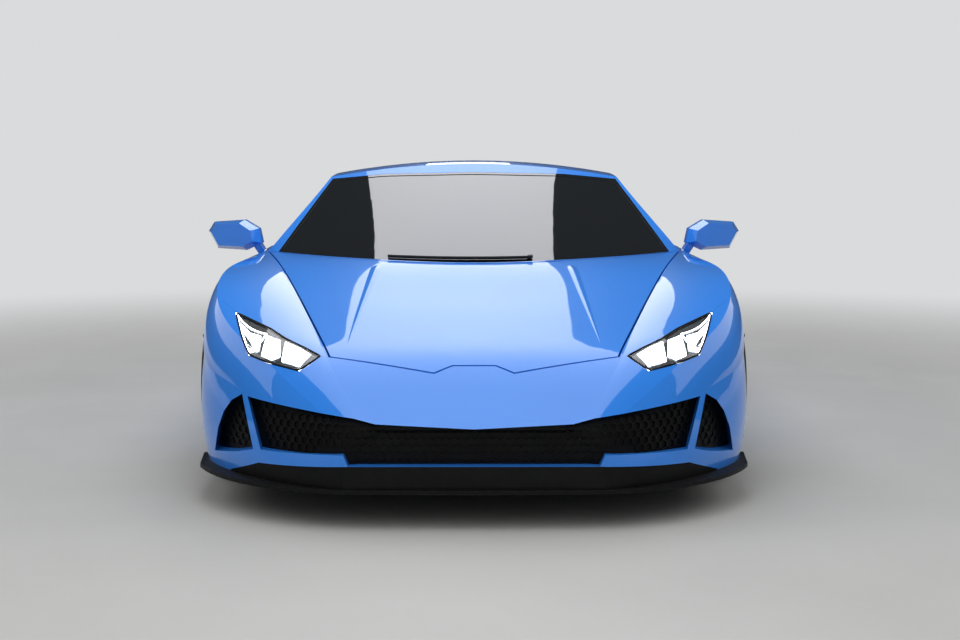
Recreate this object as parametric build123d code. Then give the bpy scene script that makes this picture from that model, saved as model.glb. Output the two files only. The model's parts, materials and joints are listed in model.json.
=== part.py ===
from build123d import *
import os
from math import cos, pi, sin

# A two-seat mid-engined supercar, in millimetres.
# X points to the right of somebody who looks at the nose, Y points from nose to tail, Z points up.
# The origin is on the floor, under the middle of the car's length.
# A station is a distance behind the nose, and place() turns it into a Y coordinate.

# Overall sizes
LENGTH = 4520
ROOF_HEIGHT = 1165
GROUND_CLEARANCE = 125

# Axles
FRONT_AXLE = 915
WHEELBASE = 2620
REAR_AXLE = FRONT_AXLE + WHEELBASE

# Wheels and tyres
FRONT_TRACK = 1668
REAR_TRACK = 1620
RIM_RADIUS = 254
RIM_WALL = 7
FRONT_TYRE_RADIUS = 327.5
FRONT_TYRE_WIDTH = 245
REAR_TYRE_RADIUS = 345.5
REAR_TYRE_WIDTH = 305
SPOKE_PAIRS = 5
DISC_RADIUS = 190
DISC_THICKNESS = 36
DISC_OFFSET = 14
KINGPIN_INSET = 29
AXLE_RADIUS = 28
BEARING_GAP = 0.08
KINGPIN_RADIUS = 11
EAR_RADIUS = 22
TREAD_SHOULDER = 22

# Walls and gaps
PANEL_GAP = 5
BONNET_GAP = 7
SIDE_WALL = 70
TOP_WALL = 28
END_WALL = 60
FLOOR_WALL = 30
CABIN_WALL = 34
GLASS_THICKNESS = 9
ARCH_CLEARANCE = 32
ARCH_LIP = 34
ARCH_STEP = 16
LINER_WALL = 4
SPLITTER_THICKNESS = 14
TUB_HEIGHT = 490
JACK_X = 700
JACK_STATIONS = (1420, 3000)
JACK_SIZE = 90
JACK_DROP = 10
TUB_WALL = 8
DIFFUSER_WALL = 8
DIFFUSER_FINS = 6
STEERING_X = 380
STEERING_STATION = 1935
STEERING_HEIGHT = 640
STEERING_TILT = 22
STEERING_RADIUS = 178
COLUMN_RADIUS = 22
PIPE_RADIUS = 62
PIPE_SPREAD = 95
PIPE_HEIGHT = 560
BULKHEAD_HEIGHT = 745
INTAKE_FLOOR = 893
ARCH_DEPTH = 545
SEAT_GAP = 0.3
SEAM_GAP = 0.8
LENS_THICKNESS = 10
MESH_RECESS = 45


def place(station):
    """The Y coordinate of a distance behind the nose."""
    return station - LENGTH / 2


def mirrored(shape):
    """The same piece on the car's other side."""
    return mirror(shape, about=Plane.YZ)


def plan_prism(points, low=0, high=1400):
    """A vertical prism over an outline of (x, station) points seen from above."""
    outline = Wire.make_polygon([Vector(x, place(s), low) for x, s in points], close=True)
    return extrude(Face(outline), high - low, dir=(0, 0, 1))


def side_prism(points, start, end):
    """A prism along X, from start to end, over an outline of (station, height) points seen from the side."""
    outline = Wire.make_polygon([Vector(start, place(s), z) for s, z in points], close=True)
    return extrude(Face(outline), end - start, dir=(1, 0, 0))


def front_prism(points, near, far):
    """A prism along Y, from station near to station far, over an outline of (x, height) points seen from ahead."""
    outline = Wire.make_polygon([Vector(x, place(near), z) for x, z in points], close=True)
    return extrude(Face(outline), far - near, dir=(0, 1, 0))


def block(x, station, z):
    """A box between pairs of X coordinates, stations and heights."""
    size = [b - a for a, b in (x, station, z)]
    middle = [(a + b) / 2 for a, b in (x, station, z)]
    return Pos(middle[0], place(middle[1]), middle[2]) * Box(*size)


def along_x(radius, x0, x1, station, z):
    """A cylinder along X from x0 to x1."""
    middle = Pos((x0 + x1) / 2, place(station), z)
    return middle * Rot(0, 90, 0) * Cylinder(radius, abs(x1 - x0))


# Body volume
# Each row is a station, the top's height on the centre line, then the half width and height of the
# bonnet's edge, the shoulder and the widest line, and last the half width at the floor.
BODY_COLUMNS = "station top rail_x rail_z shoulder_x shoulder_z wide_x wide_z floor_x".split()
BODY_ROWS = [
    (20, 312, 300, 312, 360, 300, 392, 240, 405),
    (75, 356, 360, 356, 455, 345, 512, 275, 540),
    (160, 420, 418, 424, 560, 412, 632, 325, 660),
    (280, 484, 477, 498, 690, 505, 755, 395, 775),
    (450, 542, 526, 552, 820, 588, 884, 440, 888),
    (650, 602, 584, 606, 898, 668, 948, 490, 938),
    (915, 674, 661, 674, 922, 735, 966, 520, 945),
    (1250, 757, 758, 744, 908, 760, 953, 530, 922),
    (1600, 778, 860, 783, 900, 768, 937, 540, 910),
    (2100, 790, 850, 795, 893, 778, 932, 500, 910),
    (2650, 800, 822, 806, 905, 792, 938, 500, 915),
    (3150, 815, 770, 830, 925, 822, 950, 540, 930),
    (3535, 830, 730, 862, 932, 846, 958, 570, 940),
    (4000, 850, 680, 890, 893, 850, 938, 590, 895),
    (4350, 862, 640, 898, 820, 840, 873, 600, 820),
    (4510, 868, 610, 900, 740, 825, 790, 600, 720),
]
CROWN_BULGE = 0.05
SHOULDER_BULGE = 0.10
FLANK_BULGE = 0.05


def arc_between(start, end, bulge):
    """An arc that stands out, away from the section's middle, by bulge times its length."""
    along = end - start
    return ThreePointArc(start, (start + end) / 2 + Vector(along.Z, 0, -along.X) * bulge, end)


def body_section(row, side, top, floor, along):
    """One closed section of the lower body, drawn in by the given walls."""
    at = dict(zip(BODY_COLUMNS, row))
    y = place(at["station"]) + along
    rail = Vector(at["rail_x"] - side / 2, y, at["rail_z"] - top)
    shoulder = Vector(at["shoulder_x"] - side, y, at["shoulder_z"] - top)
    wide = Vector(at["wide_x"] - side, y, at["wide_z"])
    low = Vector(at["floor_x"] - side, y, GROUND_CLEARANCE + floor)
    crown = Vector(0, y, max(at["top"] - top, rail.Z + 1))
    other_rail, other_shoulder, other_wide, other_low = (
        Vector(-p.X, p.Y, p.Z) for p in (rail, shoulder, wide, low)
    )
    return Wire([
        ThreePointArc(other_rail, crown, rail),
        arc_between(shoulder, rail, CROWN_BULGE),
        arc_between(wide, shoulder, SHOULDER_BULGE),
        arc_between(low, wide, FLANK_BULGE),
        Line(low, other_low),
        arc_between(other_wide, other_low, FLANK_BULGE),
        arc_between(other_shoulder, other_wide, SHOULDER_BULGE),
        arc_between(other_rail, other_shoulder, CROWN_BULGE),
    ])


def body_volume(side=0, top=0, floor=0, end=0):
    """The lower body's volume, or with walls given the space inside it."""
    ends = {0: end, len(BODY_ROWS) - 1: -end}
    return Solid.make_loft([
        body_section(row, side, top, floor, ends.get(i, 0)) for i, row in enumerate(BODY_ROWS)
    ])


# Cabin volume
# Each row is a station, the roof's height on the centre line, the half width and height of the roof's
# edge, and the half width and height of the foot of the side.
CABIN_COLUMNS = "station top edge_x edge_z foot_x foot_z".split()
CABIN_ROWS = [
    (1150, 1068, 650, 1008, 868, 730),
    (1700, 1118, 650, 1062, 862, 768),
    (2150, 1146, 640, 1092, 854, 776),
    (2450, 1165, 632, 1108, 842, 780),
    (2850, 1150, 615, 1092, 812, 790),
    (3350, 1085, 590, 1036, 752, 815),
    (3850, 992, 560, 962, 692, 850),
    (4330, 905, 530, 893, 640, 862),
]


def cabin_section(row, wall, sink):
    """One closed section of the cabin, drawn in by its wall, with its foot let down by sink."""
    at = dict(zip(CABIN_COLUMNS, row))
    y = place(at["station"])
    edge = Vector(at["edge_x"] - wall, y, at["edge_z"] - wall)
    foot = Vector(at["foot_x"] - wall * 1.2, y, at["foot_z"] - sink)
    crown = Vector(0, y, at["top"] - wall)
    other_edge, other_foot = Vector(-edge.X, y, edge.Z), Vector(-foot.X, y, foot.Z)
    return Wire([
        ThreePointArc(other_edge, crown, edge),
        Line(edge, foot),
        Line(foot, other_foot),
        Line(other_foot, other_edge),
    ])


def cabin_volume(wall=0, sink=0):
    """The volume from windscreen to tail above the body's edge, or with a wall given the space inside it."""
    return Solid.make_loft([cabin_section(row, wall, sink) for row in CABIN_ROWS])


# Windscreen: a cone-like face between two arcs. Each row is a height, the middle's station, and how
# much further back the arc is at half the width given here.
WINDSCREEN_HALF = 1000
WINDSCREEN_ROWS = [(700, 1105, 480), (1230, 2355, 80)]


def behind_windscreen(back=0):
    """Everything behind the windscreen's outer face, or behind a face that lies further back."""
    wires = []
    for z, middle, sweep in WINDSCREEN_ROWS:
        corner = Vector(WINDSCREEN_HALF, place(middle + sweep + back), z)
        other = Vector(-corner.X, corner.Y, z)
        rear = Vector(WINDSCREEN_HALF, place(LENGTH + 200), z)
        wires.append(Wire([
            ThreePointArc(other, (0, place(middle + back), z), corner),
            Line(corner, rear),
            Line(rear, (-rear.X, rear.Y, z)),
            Line((-rear.X, rear.Y, z), other),
        ]))
    return Solid.make_loft(wires, ruled=True)



# Outlines of the panels, openings and lamps on the car's left, as points on the body's surface.
# Each point of the bonnet's edge is (x, station, height).
BONNET_FRONT = [(0, 247, 483), (71, 247, 483), (129, 214, 463), (468, 295, 504)]
BONNET_REAR = [(842, 1545, 783), (560, 1352, 770), (290, 1243, 762), (0, 1205, 757)]
BONNET_LEAN = 0.26
# Seen from above, as (x, station)
WING_SEAM = [(468, 290), (560, 294), (660, 350), (740, 430), (818, 545), (935, 700), (1000, 765)]
COWL_REAR = [(0, 1310), (290, 1345), (560, 1455), (760, 1599)]
# Seen from ahead, as (x, height)
HEADLAMP = [(496, 506), (560, 466), (660, 485), (739, 507), (818, 628), (684, 584), (622, 557), (550, 529)]
MIDDLE_INTAKE = [(306, 326), (373, 341), (733, 380), (682, 219), (404, 231), (389, 196.5)]
OUTER_INTAKE = [(754, 385), (795, 359), (826, 318), (851, 258), (869, 174), (775, 195), (710, 216)]
LIP = [(0, 196), (400, 196), (690, 176), (800, 130), (826, 100)]
# Seen from behind, as (x, height)
FASCIA = [(560, 800), (690, 775), (725, 705), (640, 640), (300, 600), (250, 480)]
TAIL_LAMP = [(420, 775), (560, 789), (676, 764), (706, 707), (650, 667), (560, 650), (552, 668), (636, 690),
             (660, 712), (640, 746), (560, 764), (424, 752)]
# Seen from the side, as (station, height)
SIDE_INTAKE = [(2720, 430), (2700, 560), (2775, 715), (3010, 700), (3040, 610), (2960, 440)]
TUNNEL = [(4040, 60), (4040, 126), (4560, 322), (4560, 60)]
DOOR_HINGE_X = 950
DOOR_HINGE_STATION = 1602
DOOR_SWING = 1052
SILL_TOP = 242
DOOR_BOTTOM = SILL_TOP + PANEL_GAP
REAR_SEAM = 4150
TUNNEL_HALF = 560
COVER_HALF = 500
COVER_START = 2800
COVER_END = [(4190, 850), (4245, 1200)]
COVER_SLOTS = 5
DOOR_GLASS = [(1655, 770), (1668, 800), (1780, 878), (2000, 1000), (2160, 1068), (2300, 1082), (2560, 1078),
              (2640, 1060), (2640, 770)]
WINDSCREEN_OUTLINE = [(-822, 700), (-822, 752), (-632, 1078), (-400, 1100), (0, 1108),
                      (400, 1100), (632, 1078), (822, 752), (822, 700)]


def grow(points, amount):
    """A flat outline moved outwards by an amount, or inwards where it is negative."""
    area = sum(a[0] * b[1] - b[0] * a[1] for a, b in zip(points, points[1:] + points[:1]))
    turn = 1 if area > 0 else -1
    moved = []
    for before, here, after in zip(points[-1:] + points[:-1], points, points[1:] + points[:1]):
        first = (Vector(here[0], here[1]) - Vector(before[0], before[1])).normalized()
        second = (Vector(after[0], after[1]) - Vector(here[0], here[1])).normalized()
        a, b = Vector(first.Y, -first.X) * turn, Vector(second.Y, -second.X) * turn
        step = (a + b) * (amount / (1 + a.dot(b)))
        moved.append((here[0] + step.X, here[1] + step.Y))
    return moved


def other_side(points):
    """The same outline on the car's other side."""
    return [(-x, v) for x, v in points]


def both_sides(points):
    """An outline that crosses the middle: its left half, and the same on the right."""
    return list(points) + [(-x, v) for x, v in reversed(points) if x > 0]


def bonnet_prism(gap):
    """The space of the bonnet, leaning forward as it rises so that the bonnet lifts clear of its frame."""
    base = 460
    outline = [(x, s + BONNET_LEAN * (z - base)) for x, s, z in BONNET_FRONT + BONNET_REAR]
    outline = grow(both_sides(outline), gap)
    face = Face(Wire.make_polygon([Vector(x, place(s), base) for x, s in outline], close=True))
    up, down = (extrude(face, abs(z), dir=Vector(0, -BONNET_LEAN * z, z).normalized()) for z in (500, -60))
    return up + down


def wheel_places():
    """Each wheel as its name, side, station, half track, tyre radius and tyre width."""
    front = (FRONT_AXLE, FRONT_TRACK / 2, FRONT_TYRE_RADIUS, FRONT_TYRE_WIDTH)
    rear = (REAR_AXLE, REAR_TRACK / 2, REAR_TYRE_RADIUS, REAR_TYRE_WIDTH)
    return [
        (f"{end}_{side_name}", side, *sizes)
        for end, sizes in (("front", front), ("rear", rear))
        for side_name, side in (("left", 1), ("right", -1))
    ]


def arch_cutters():
    """Cylinders that open the wheel arches: wide over the tyre, and lower in two steps inboard of it."""
    cutters = []
    for _, side, station, half_track, radius, width in wheel_places():
        inner = half_track - width / 2 - 25
        step = inner + ARCH_LIP
        wide = along_x(radius + ARCH_CLEARANCE, side * step, side * 1100, station, radius)
        lip = along_x(radius + ARCH_CLEARANCE - ARCH_STEP, side * inner, side * step, station, radius)
        cutters.append(wide + lip)
        cutters.append(along_x(radius - 5, side * ARCH_DEPTH, side * inner, station, radius))
    return cutters


def door_zone(gap):
    """The space of the left-hand door, turned about its hinge so that it swings clear; gap widens it."""
    reach = DOOR_SWING + gap
    profile = Polyline(
        (0, DOOR_BOTTOM - gap), (reach, DOOR_BOTTOM - gap), (reach, 1300), (0, 1300), close=True
    )
    swept = revolve(Plane.XZ * make_face(profile), Axis.Z, 360)
    swept = Pos(DOOR_HINGE_X, place(DOOR_HINGE_STATION), 0) * swept
    keep = block((600, 1100), (DOOR_HINGE_STATION + PANEL_GAP / 2 - gap, 3000), (0, 1400))
    return swept & keep


# Wheels. Each is drawn about the X axis at the origin, with its outer face towards +X.
def ring(points):
    """A solid turned about the X axis from an outline of (x, radius) points."""
    outline = Wire.make_polygon([Vector(x, 0, r) for x, r in points], close=True)
    return revolve(Face(outline), Axis.X, 360)


def tyre(radius, width):
    """A low tyre with round sidewalls and a slightly crowned tread."""
    half, bead = width / 2, RIM_RADIUS + SEAT_GAP
    edge = radius - TREAD_SHOULDER
    right = [Vector(x, 0, r) for x, r in (
        (half - 16, bead), (half, (bead + edge) / 2), (half - 10, edge), (half - 34, radius - 3))]
    left = [Vector(-p.X, 0, p.Z) for p in right]
    outline = Wire([
        ThreePointArc(right[0], right[1], right[2]),
        Line(right[2], right[3]),
        ThreePointArc(right[3], Vector(0, 0, radius), left[3]),
        Line(left[3], left[2]),
        ThreePointArc(left[2], left[1], left[0]),
        Line(left[0], right[0]),
    ])
    return revolve(Face(outline), Axis.X, 360)


def spoke_star(inner, outer, foot, tip, spread):
    """Pairs of spokes seen along the axle: each pair starts together at the hub and spreads to the rim."""
    spokes = []
    for i in range(SPOKE_PAIRS):
        for lean in (-1, 1):
            legs = [(inner * 0.6, lean * foot * 0.2), (outer, lean * (spread - tip / 2)),
                    (outer, lean * (spread + tip / 2)), (inner, lean * foot * 1.1)]
            turn = 2 * pi * i / SPOKE_PAIRS
            spokes.append(Face(Wire.make_polygon([
                Vector(0, a * sin(turn) + b * cos(turn), a * cos(turn) - b * sin(turn)) for a, b in legs
            ], close=True)))
    return spokes


def rim(width):
    """A rim: a barrel with lips, a hub with its bore, and a star of spokes cut to a dished face."""
    half = width / 2 - 12
    barrel = ring([
        (-half, RIM_RADIUS), (half, RIM_RADIUS), (half, RIM_RADIUS - 22), (half - 12, RIM_RADIUS - 22),
        (half - 30, RIM_RADIUS - RIM_WALL - 8), (-half + 20, RIM_RADIUS - RIM_WALL), (-half, RIM_RADIUS - 18),
    ])
    face = half - 6
    dish = ring([
        (face - 62, 0), (face - 62, 60), (face - 40, 150), (face - 30, RIM_RADIUS - 10),
        (face, RIM_RADIUS - 10), (face - 18, 150), (face - 30, 60), (face - 24, 0),
    ])
    star = None
    for spoke in spoke_star(62, RIM_RADIUS - 12, 34, 20, 46):
        solid = extrude(spoke, 400, dir=(1, 0, 0))
        star = solid if star is None else star + solid
    star = Pos(-200, 0, 0) * star
    hub = ring([(face - 66, 0), (face - 66, 78), (face - 34, 74), (face - 28, 0)])
    bore = Rot(0, 90, 0) * Cylinder(AXLE_RADIUS + BEARING_GAP, 1000)
    return (barrel + (star & dish) + hub) - bore


def hub_face(width):
    """Where the back of a rim's hub lies, from the wheel's middle."""
    return width / 2 - 18 - 66


def brake_disc(width):
    """A vented disc on its bell, behind the spokes."""
    face = hub_face(width)
    back, front = face - DISC_OFFSET - DISC_THICKNESS, face - DISC_OFFSET
    disc = ring([(back, 110), (back, DISC_RADIUS), (front, DISC_RADIUS), (front, 110)])
    bell = ring([(back + 8, AXLE_RADIUS + BEARING_GAP), (back + 8, 112), (front, 112), (face - SEAT_GAP, 90),
                 (face - SEAT_GAP, AXLE_RADIUS + BEARING_GAP)])
    return disc + bell


def knuckle(width):
    """An upright with its spindle, its two kingpins and a caliper over the disc's front edge."""
    face = hub_face(width)
    back = face - DISC_OFFSET - DISC_THICKNESS
    plate = block((back - 12 - 34, back - 12), (-52 + LENGTH / 2, 52 + LENGTH / 2), (-112, 112))
    boss = along_x(70, back - 46, back - 4, LENGTH / 2, 0)
    spindle = along_x(AXLE_RADIUS, back - 30, face + 36, LENGTH / 2, 0)
    pins = Pos(back - KINGPIN_INSET, 0, 0) * Cylinder(KINGPIN_RADIUS, 320)
    middle = back + DISC_THICKNESS / 2
    outer_ring = ring([(middle - 62, 120), (middle - 62, DISC_RADIUS + 24), (middle + 40, DISC_RADIUS + 24),
                       (middle + 40, 120)])
    slot = ring([(middle - DISC_THICKNESS / 2 - 5, 0), (middle - DISC_THICKNESS / 2 - 5, DISC_RADIUS + 5),
                 (middle + DISC_THICKNESS / 2 + 5, DISC_RADIUS + 5), (middle + DISC_THICKNESS / 2 + 5, 0)])
    wedge = block((-300, 300), (LENGTH / 2 - 300, LENGTH / 2 - 60), (-90, 90))
    caliper = (outer_ring - slot) & wedge
    arm = block((back - 40, back - 5), (LENGTH / 2 - 150, LENGTH / 2 - 40), (-40, 40))
    return plate + boss + spindle + pins + caliper + arm


def at_wheel(shape, side, station, half_track, radius):
    """A wheel's piece moved to its place, turned over for the car's right."""
    shape = shape if side > 0 else mirrored(shape)
    return Pos(side * half_track, place(station), radius) * shape


def running_gear():
    """Wheels, tyres, discs, knuckles and the arms that hold them."""
    nodes = {}
    for name, side, station, half_track, radius, width in wheel_places():
        at = (side, station, half_track, radius)
        nodes["tyre_" + name] = at_wheel(tyre(radius, width), *at)
        nodes["rim_" + name] = at_wheel(rim(width), *at)
        nodes["disc_" + name] = at_wheel(brake_disc(width), *at)
        nodes["knuckle_" + name] = at_wheel(knuckle(width), *at)
    nodes["knuckles_rear"] = together(nodes.pop("knuckle_rear_left"), nodes.pop("knuckle_rear_right"))
    for end, station, half_track, radius, width in (
        ("front", FRONT_AXLE, FRONT_TRACK / 2, FRONT_TYRE_RADIUS, FRONT_TYRE_WIDTH),
        ("rear", REAR_AXLE, REAR_TRACK / 2, REAR_TYRE_RADIUS, REAR_TYRE_WIDTH),
    ):
        pin_x = half_track + hub_face(width) - DISC_OFFSET - DISC_THICKNESS - KINGPIN_INSET
        carrier = block((-260, 260), (station - 130, station + 130), (GROUND_CLEARANCE + FLOOR_WALL + 0.2, radius + 60))
        arms = carrier
        for side in (-1, 1):
            for z in (radius - 140, radius + 140):
                ear = Pos(side * pin_x, place(station), z) * (
                    Cylinder(EAR_RADIUS, 22) - Cylinder(KINGPIN_RADIUS + BEARING_GAP, 60))
                arms += ear
                for lead in (-1, 1):
                    root_z = min(z, radius + 40)
                    start, stop = (side * 240, station + lead * 115, root_z), (side * (pin_x - EAR_RADIUS + 5), station + lead * 8, z)
                    arms += rod(start, stop, 13)
        nodes["suspension_" + end] = arms
    return nodes


def rod(start, stop, radius):
    """A round bar between two (x, station, z) points."""
    a, b = (Vector(x, place(s), z) for x, s, z in (start, stop))
    return Plane(a, z_dir=b - a) * Cylinder(radius, (b - a).length, align=(Align.CENTER, Align.CENTER, Align.MIN))


# Fittings of the body
def arch_liners():
    """A black liner in each arch, open towards the floor."""
    liners = []
    for _, side, station, half_track, radius, width in wheel_places():
        outer = radius + ARCH_CLEARANCE - SEAT_GAP
        inner = outer - LINER_WALL
        start = half_track - width / 2 - 24 + ARCH_LIP
        stop = half_track + width / 2 - 70
        liner = along_x(outer, side * start, side * stop, station, radius) - along_x(
            inner, side * (start - 1), side * (stop + 1), station, radius)
        liners.append(liner & block((-1100, 1100), (station - 500, station + 500), (SILL_TOP, 900)))
    return together(*liners)


def luggage_tub():
    """The open tub under the bonnet, ahead of the front suspension."""
    floor = GROUND_CLEARANCE + FLOOR_WALL + SEAT_GAP
    outline = [(-400, 500), (400, 500), (400, 770), (-400, 770)]
    return plan_prism(outline, floor, TUB_HEIGHT) - plan_prism(grow(outline, -TUB_WALL), floor + TUB_WALL, 700)


def splitter():
    """The flat plate under the nose, cut away for the front wheels."""
    low, high = GROUND_CLEARANCE - SPLITTER_THICKNESS, GROUND_CLEARANCE
    tips = [Vector(x, place(s), low) for x, s in (
        (-950, 640), (-925, 430), (-720, 150), (-430, 14), (0, 0), (430, 14), (720, 150), (925, 430), (950, 640))]
    outline = Wire([
        Line(tips[0], tips[1]), ThreePointArc(tips[1], tips[2], tips[3]), ThreePointArc(tips[3], tips[4], tips[5]),
        ThreePointArc(tips[5], tips[6], tips[7]), Line(tips[7], tips[8]), Line(tips[8], tips[0]),
    ])
    plate = extrude(Face(outline), high - low, dir=(0, 0, 1))
    for _, side, station, half_track, radius, width in wheel_places()[:2]:
        plate -= along_x(radius + ARCH_CLEARANCE, side * ARCH_DEPTH, side * 1100, station, radius)
    return plate


def diffuser():
    """The rising tunnel under the tail, with its upright fins."""
    (start, low), (stop, high) = TUNNEL[1], TUNNEL[2]
    rise = (high - low) / (stop - start)

    def roof(station):
        return low + rise * (station - start) - SEAT_GAP * 1.5

    half, end = TUNNEL_HALF - SEAT_GAP, LENGTH - 2
    plate = side_prism([(start + 2, roof(start + 2)), (end, roof(end)), (end, roof(end) - DIFFUSER_WALL),
                        (start + 2, roof(start + 2) - DIFFUSER_WALL)], -half, half)
    for i in range(DIFFUSER_FINS):
        x = half * (2 * i / (DIFFUSER_FINS - 1) - 1) * 0.94
        fin = [(start + 90, roof(start + 90) - 4), (end - 6, roof(end - 6) - 4), (end - 6, 150), (end - 80, 118),
               (start + 90, 118)]
        plate += side_prism(fin, x - 5, x + 5)
    return plate


def tail_spoiler():
    """The upturned lip across the tail."""
    return side_prism([(4270, 850), (4270, 906), (4440, 916), (4512, 946), (4520, 944), (4520, 850)], -640, 640)


def mirror_pod():
    """The left-hand door mirror: a faceted pod on a bent arm."""
    pod_near = [(888, 812), (900, 872), (960, 908), (1086, 900), (1110, 862), (1072, 790), (950, 782)]
    pod_far = [(918, 822), (925, 866), (970, 896), (1068, 890), (1086, 860), (1058, 806), (960, 800)]
    sections = []
    for points, station in ((pod_far, 1560), (pod_near, 1640), (pod_near, 1700)):
        sections.append(Wire.make_polygon([Vector(x, place(station), z) for x, z in points], close=True))
    pod = Solid.make_loft(sections, ruled=True)
    arm = Solid.make_loft([
        Wire.make_polygon([Vector(x, place(s), 762) for x, s in ((868, 1640), (900, 1640), (900, 1720), (868, 1720))],
                          close=True),
        Wire.make_polygon([Vector(x, place(s), 830) for x, s in ((905, 1622), (940, 1622), (940, 1690), (905, 1690))],
                          close=True),
    ], ruled=True)
    return pod + arm


def seat(middle):
    """A bucket seat on its rails: base, back and bolsters."""
    base = side_prism([(2000, 290), (1990, 350), (2430, 330), (2430, 210), (2040, 210)], middle - 170, middle + 170)
    back = side_prism([(2360, 330), (2432, 320), (2640, 860), (2640, 900), (2560, 900)], middle - 150, middle + 150)
    wings = None
    for side in (-1, 1):
        x0, x1 = sorted((middle + side * 150, middle + side * 235))
        low = side_prism([(2030, 300), (2010, 400), (2430, 400), (2430, 210), (2060, 210)], x0, x1)
        high = side_prism([(2300, 360), (2432, 320), (2600, 760), (2540, 780)], x0, x1)
        wings = low + high if wings is None else wings + low + high
    floor = GROUND_CLEARANCE + FLOOR_WALL + SEAT_GAP
    for x in (middle - 150, middle + 150):
        base += block((x - 15, x + 15), (2060, 2420), (floor, 215))
    return base + back + wings


def dashboard():
    """The dashboard with its hooded binnacle and the tunnel between the seats."""
    top = side_prism([(1480, 700), (1560, 745), (1880, 720), (1900, 640), (1800, 520), (1480, 520)], -740, 740)
    tunnel = side_prism([(1700, 100), (1700, 560), (1900, 500), (2500, 420), (2640, 420), (2640, 100)], -110, 110)
    hood = side_prism([(1660, 715), (1700, 770), (1860, 775), (1860, 640), (1660, 640)], 240, 520)
    floor = GROUND_CLEARANCE + FLOOR_WALL + SEAT_GAP
    tunnel &= block((-200, 200), (1600, 2700), (floor, 700))
    return top + tunnel + hood - on_column(Pos(0, 0, -100) * Cylinder(COLUMN_RADIUS + SEAT_GAP, 160))


def on_column(shape):
    """A shape drawn about the Z axis, moved to the steering column."""
    return Pos(STEERING_X, place(STEERING_STATION), STEERING_HEIGHT) * Rot(STEERING_TILT - 90, 0, 0) * shape


def steering_wheel():
    """The steering wheel with three spokes, and the column it turns on."""
    grip = Torus(STEERING_RADIUS, 15)
    hub = Cylinder(48, 36)
    wheel = grip + hub
    for turn in (0, 90, 180):
        wheel += Rot(0, 0, turn) * Pos(STEERING_RADIUS / 2, 0, 0) * Box(STEERING_RADIUS, 34, 14)
    wheel += Pos(0, 0, -55) * Cylinder(COLUMN_RADIUS, 90)
    return on_column(wheel)


def engine_block():
    """The engine and gearbox as one plain block at its place."""
    engine = block((-300, 300), (2930, 3380), (GROUND_CLEARANCE + FLOOR_WALL + SEAT_GAP, 640))
    return engine


def exhaust():
    """Two round tail pipes high in the middle of the tail."""
    pipes = []
    for x in (-PIPE_SPREAD, PIPE_SPREAD):
        pipe = Cylinder(PIPE_RADIUS, 210) - Cylinder(PIPE_RADIUS - 6, 300)
        pipes.append(Pos(x, place(4410), PIPE_HEIGHT) * Rot(90, 0, 0) * pipe)
    return together(*pipes)


def bulkhead():
    """The wall between cabin and engine."""
    return block((-720, 720), (2675, 2700), (GROUND_CLEARANCE + FLOOR_WALL + SEAT_GAP, BULKHEAD_HEIGHT))


def largest(shape):
    """The largest solid of a cut, without the crumbs that the cut leaves."""
    return max(shape.solids(), key=lambda solid: solid.volume)


def together(*shapes):
    """Like pieces kept as one node of several solids."""
    return Compound([solid for shape in shapes for solid in shape.solids()])


def opened(panel, cutters):
    """A panel with each of the given openings cut from it."""
    for cutter in cutters:
        panel -= cutter
    return panel


def middle_intake_outline():
    """The wide intake in the nose, seen from ahead."""
    return both_sides([(0, 313)] + MIDDLE_INTAKE + [(0, 196.5)])


def lip_outline():
    """The black lip under the nose, seen from ahead."""
    return both_sides(LIP + [(0, 100)])


def fascia_outline():
    """The opening in the tail, seen from behind."""
    return both_sides([(0, 800)] + FASCIA + [(0, 480)])


def cover_outline(gap=0):
    """The engine cover seen from the side. Its rear edge leans so that it lifts clear."""
    return grow([(COVER_START, 800), (COVER_START, 1300), COVER_END[1], COVER_END[0]], gap)


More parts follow.
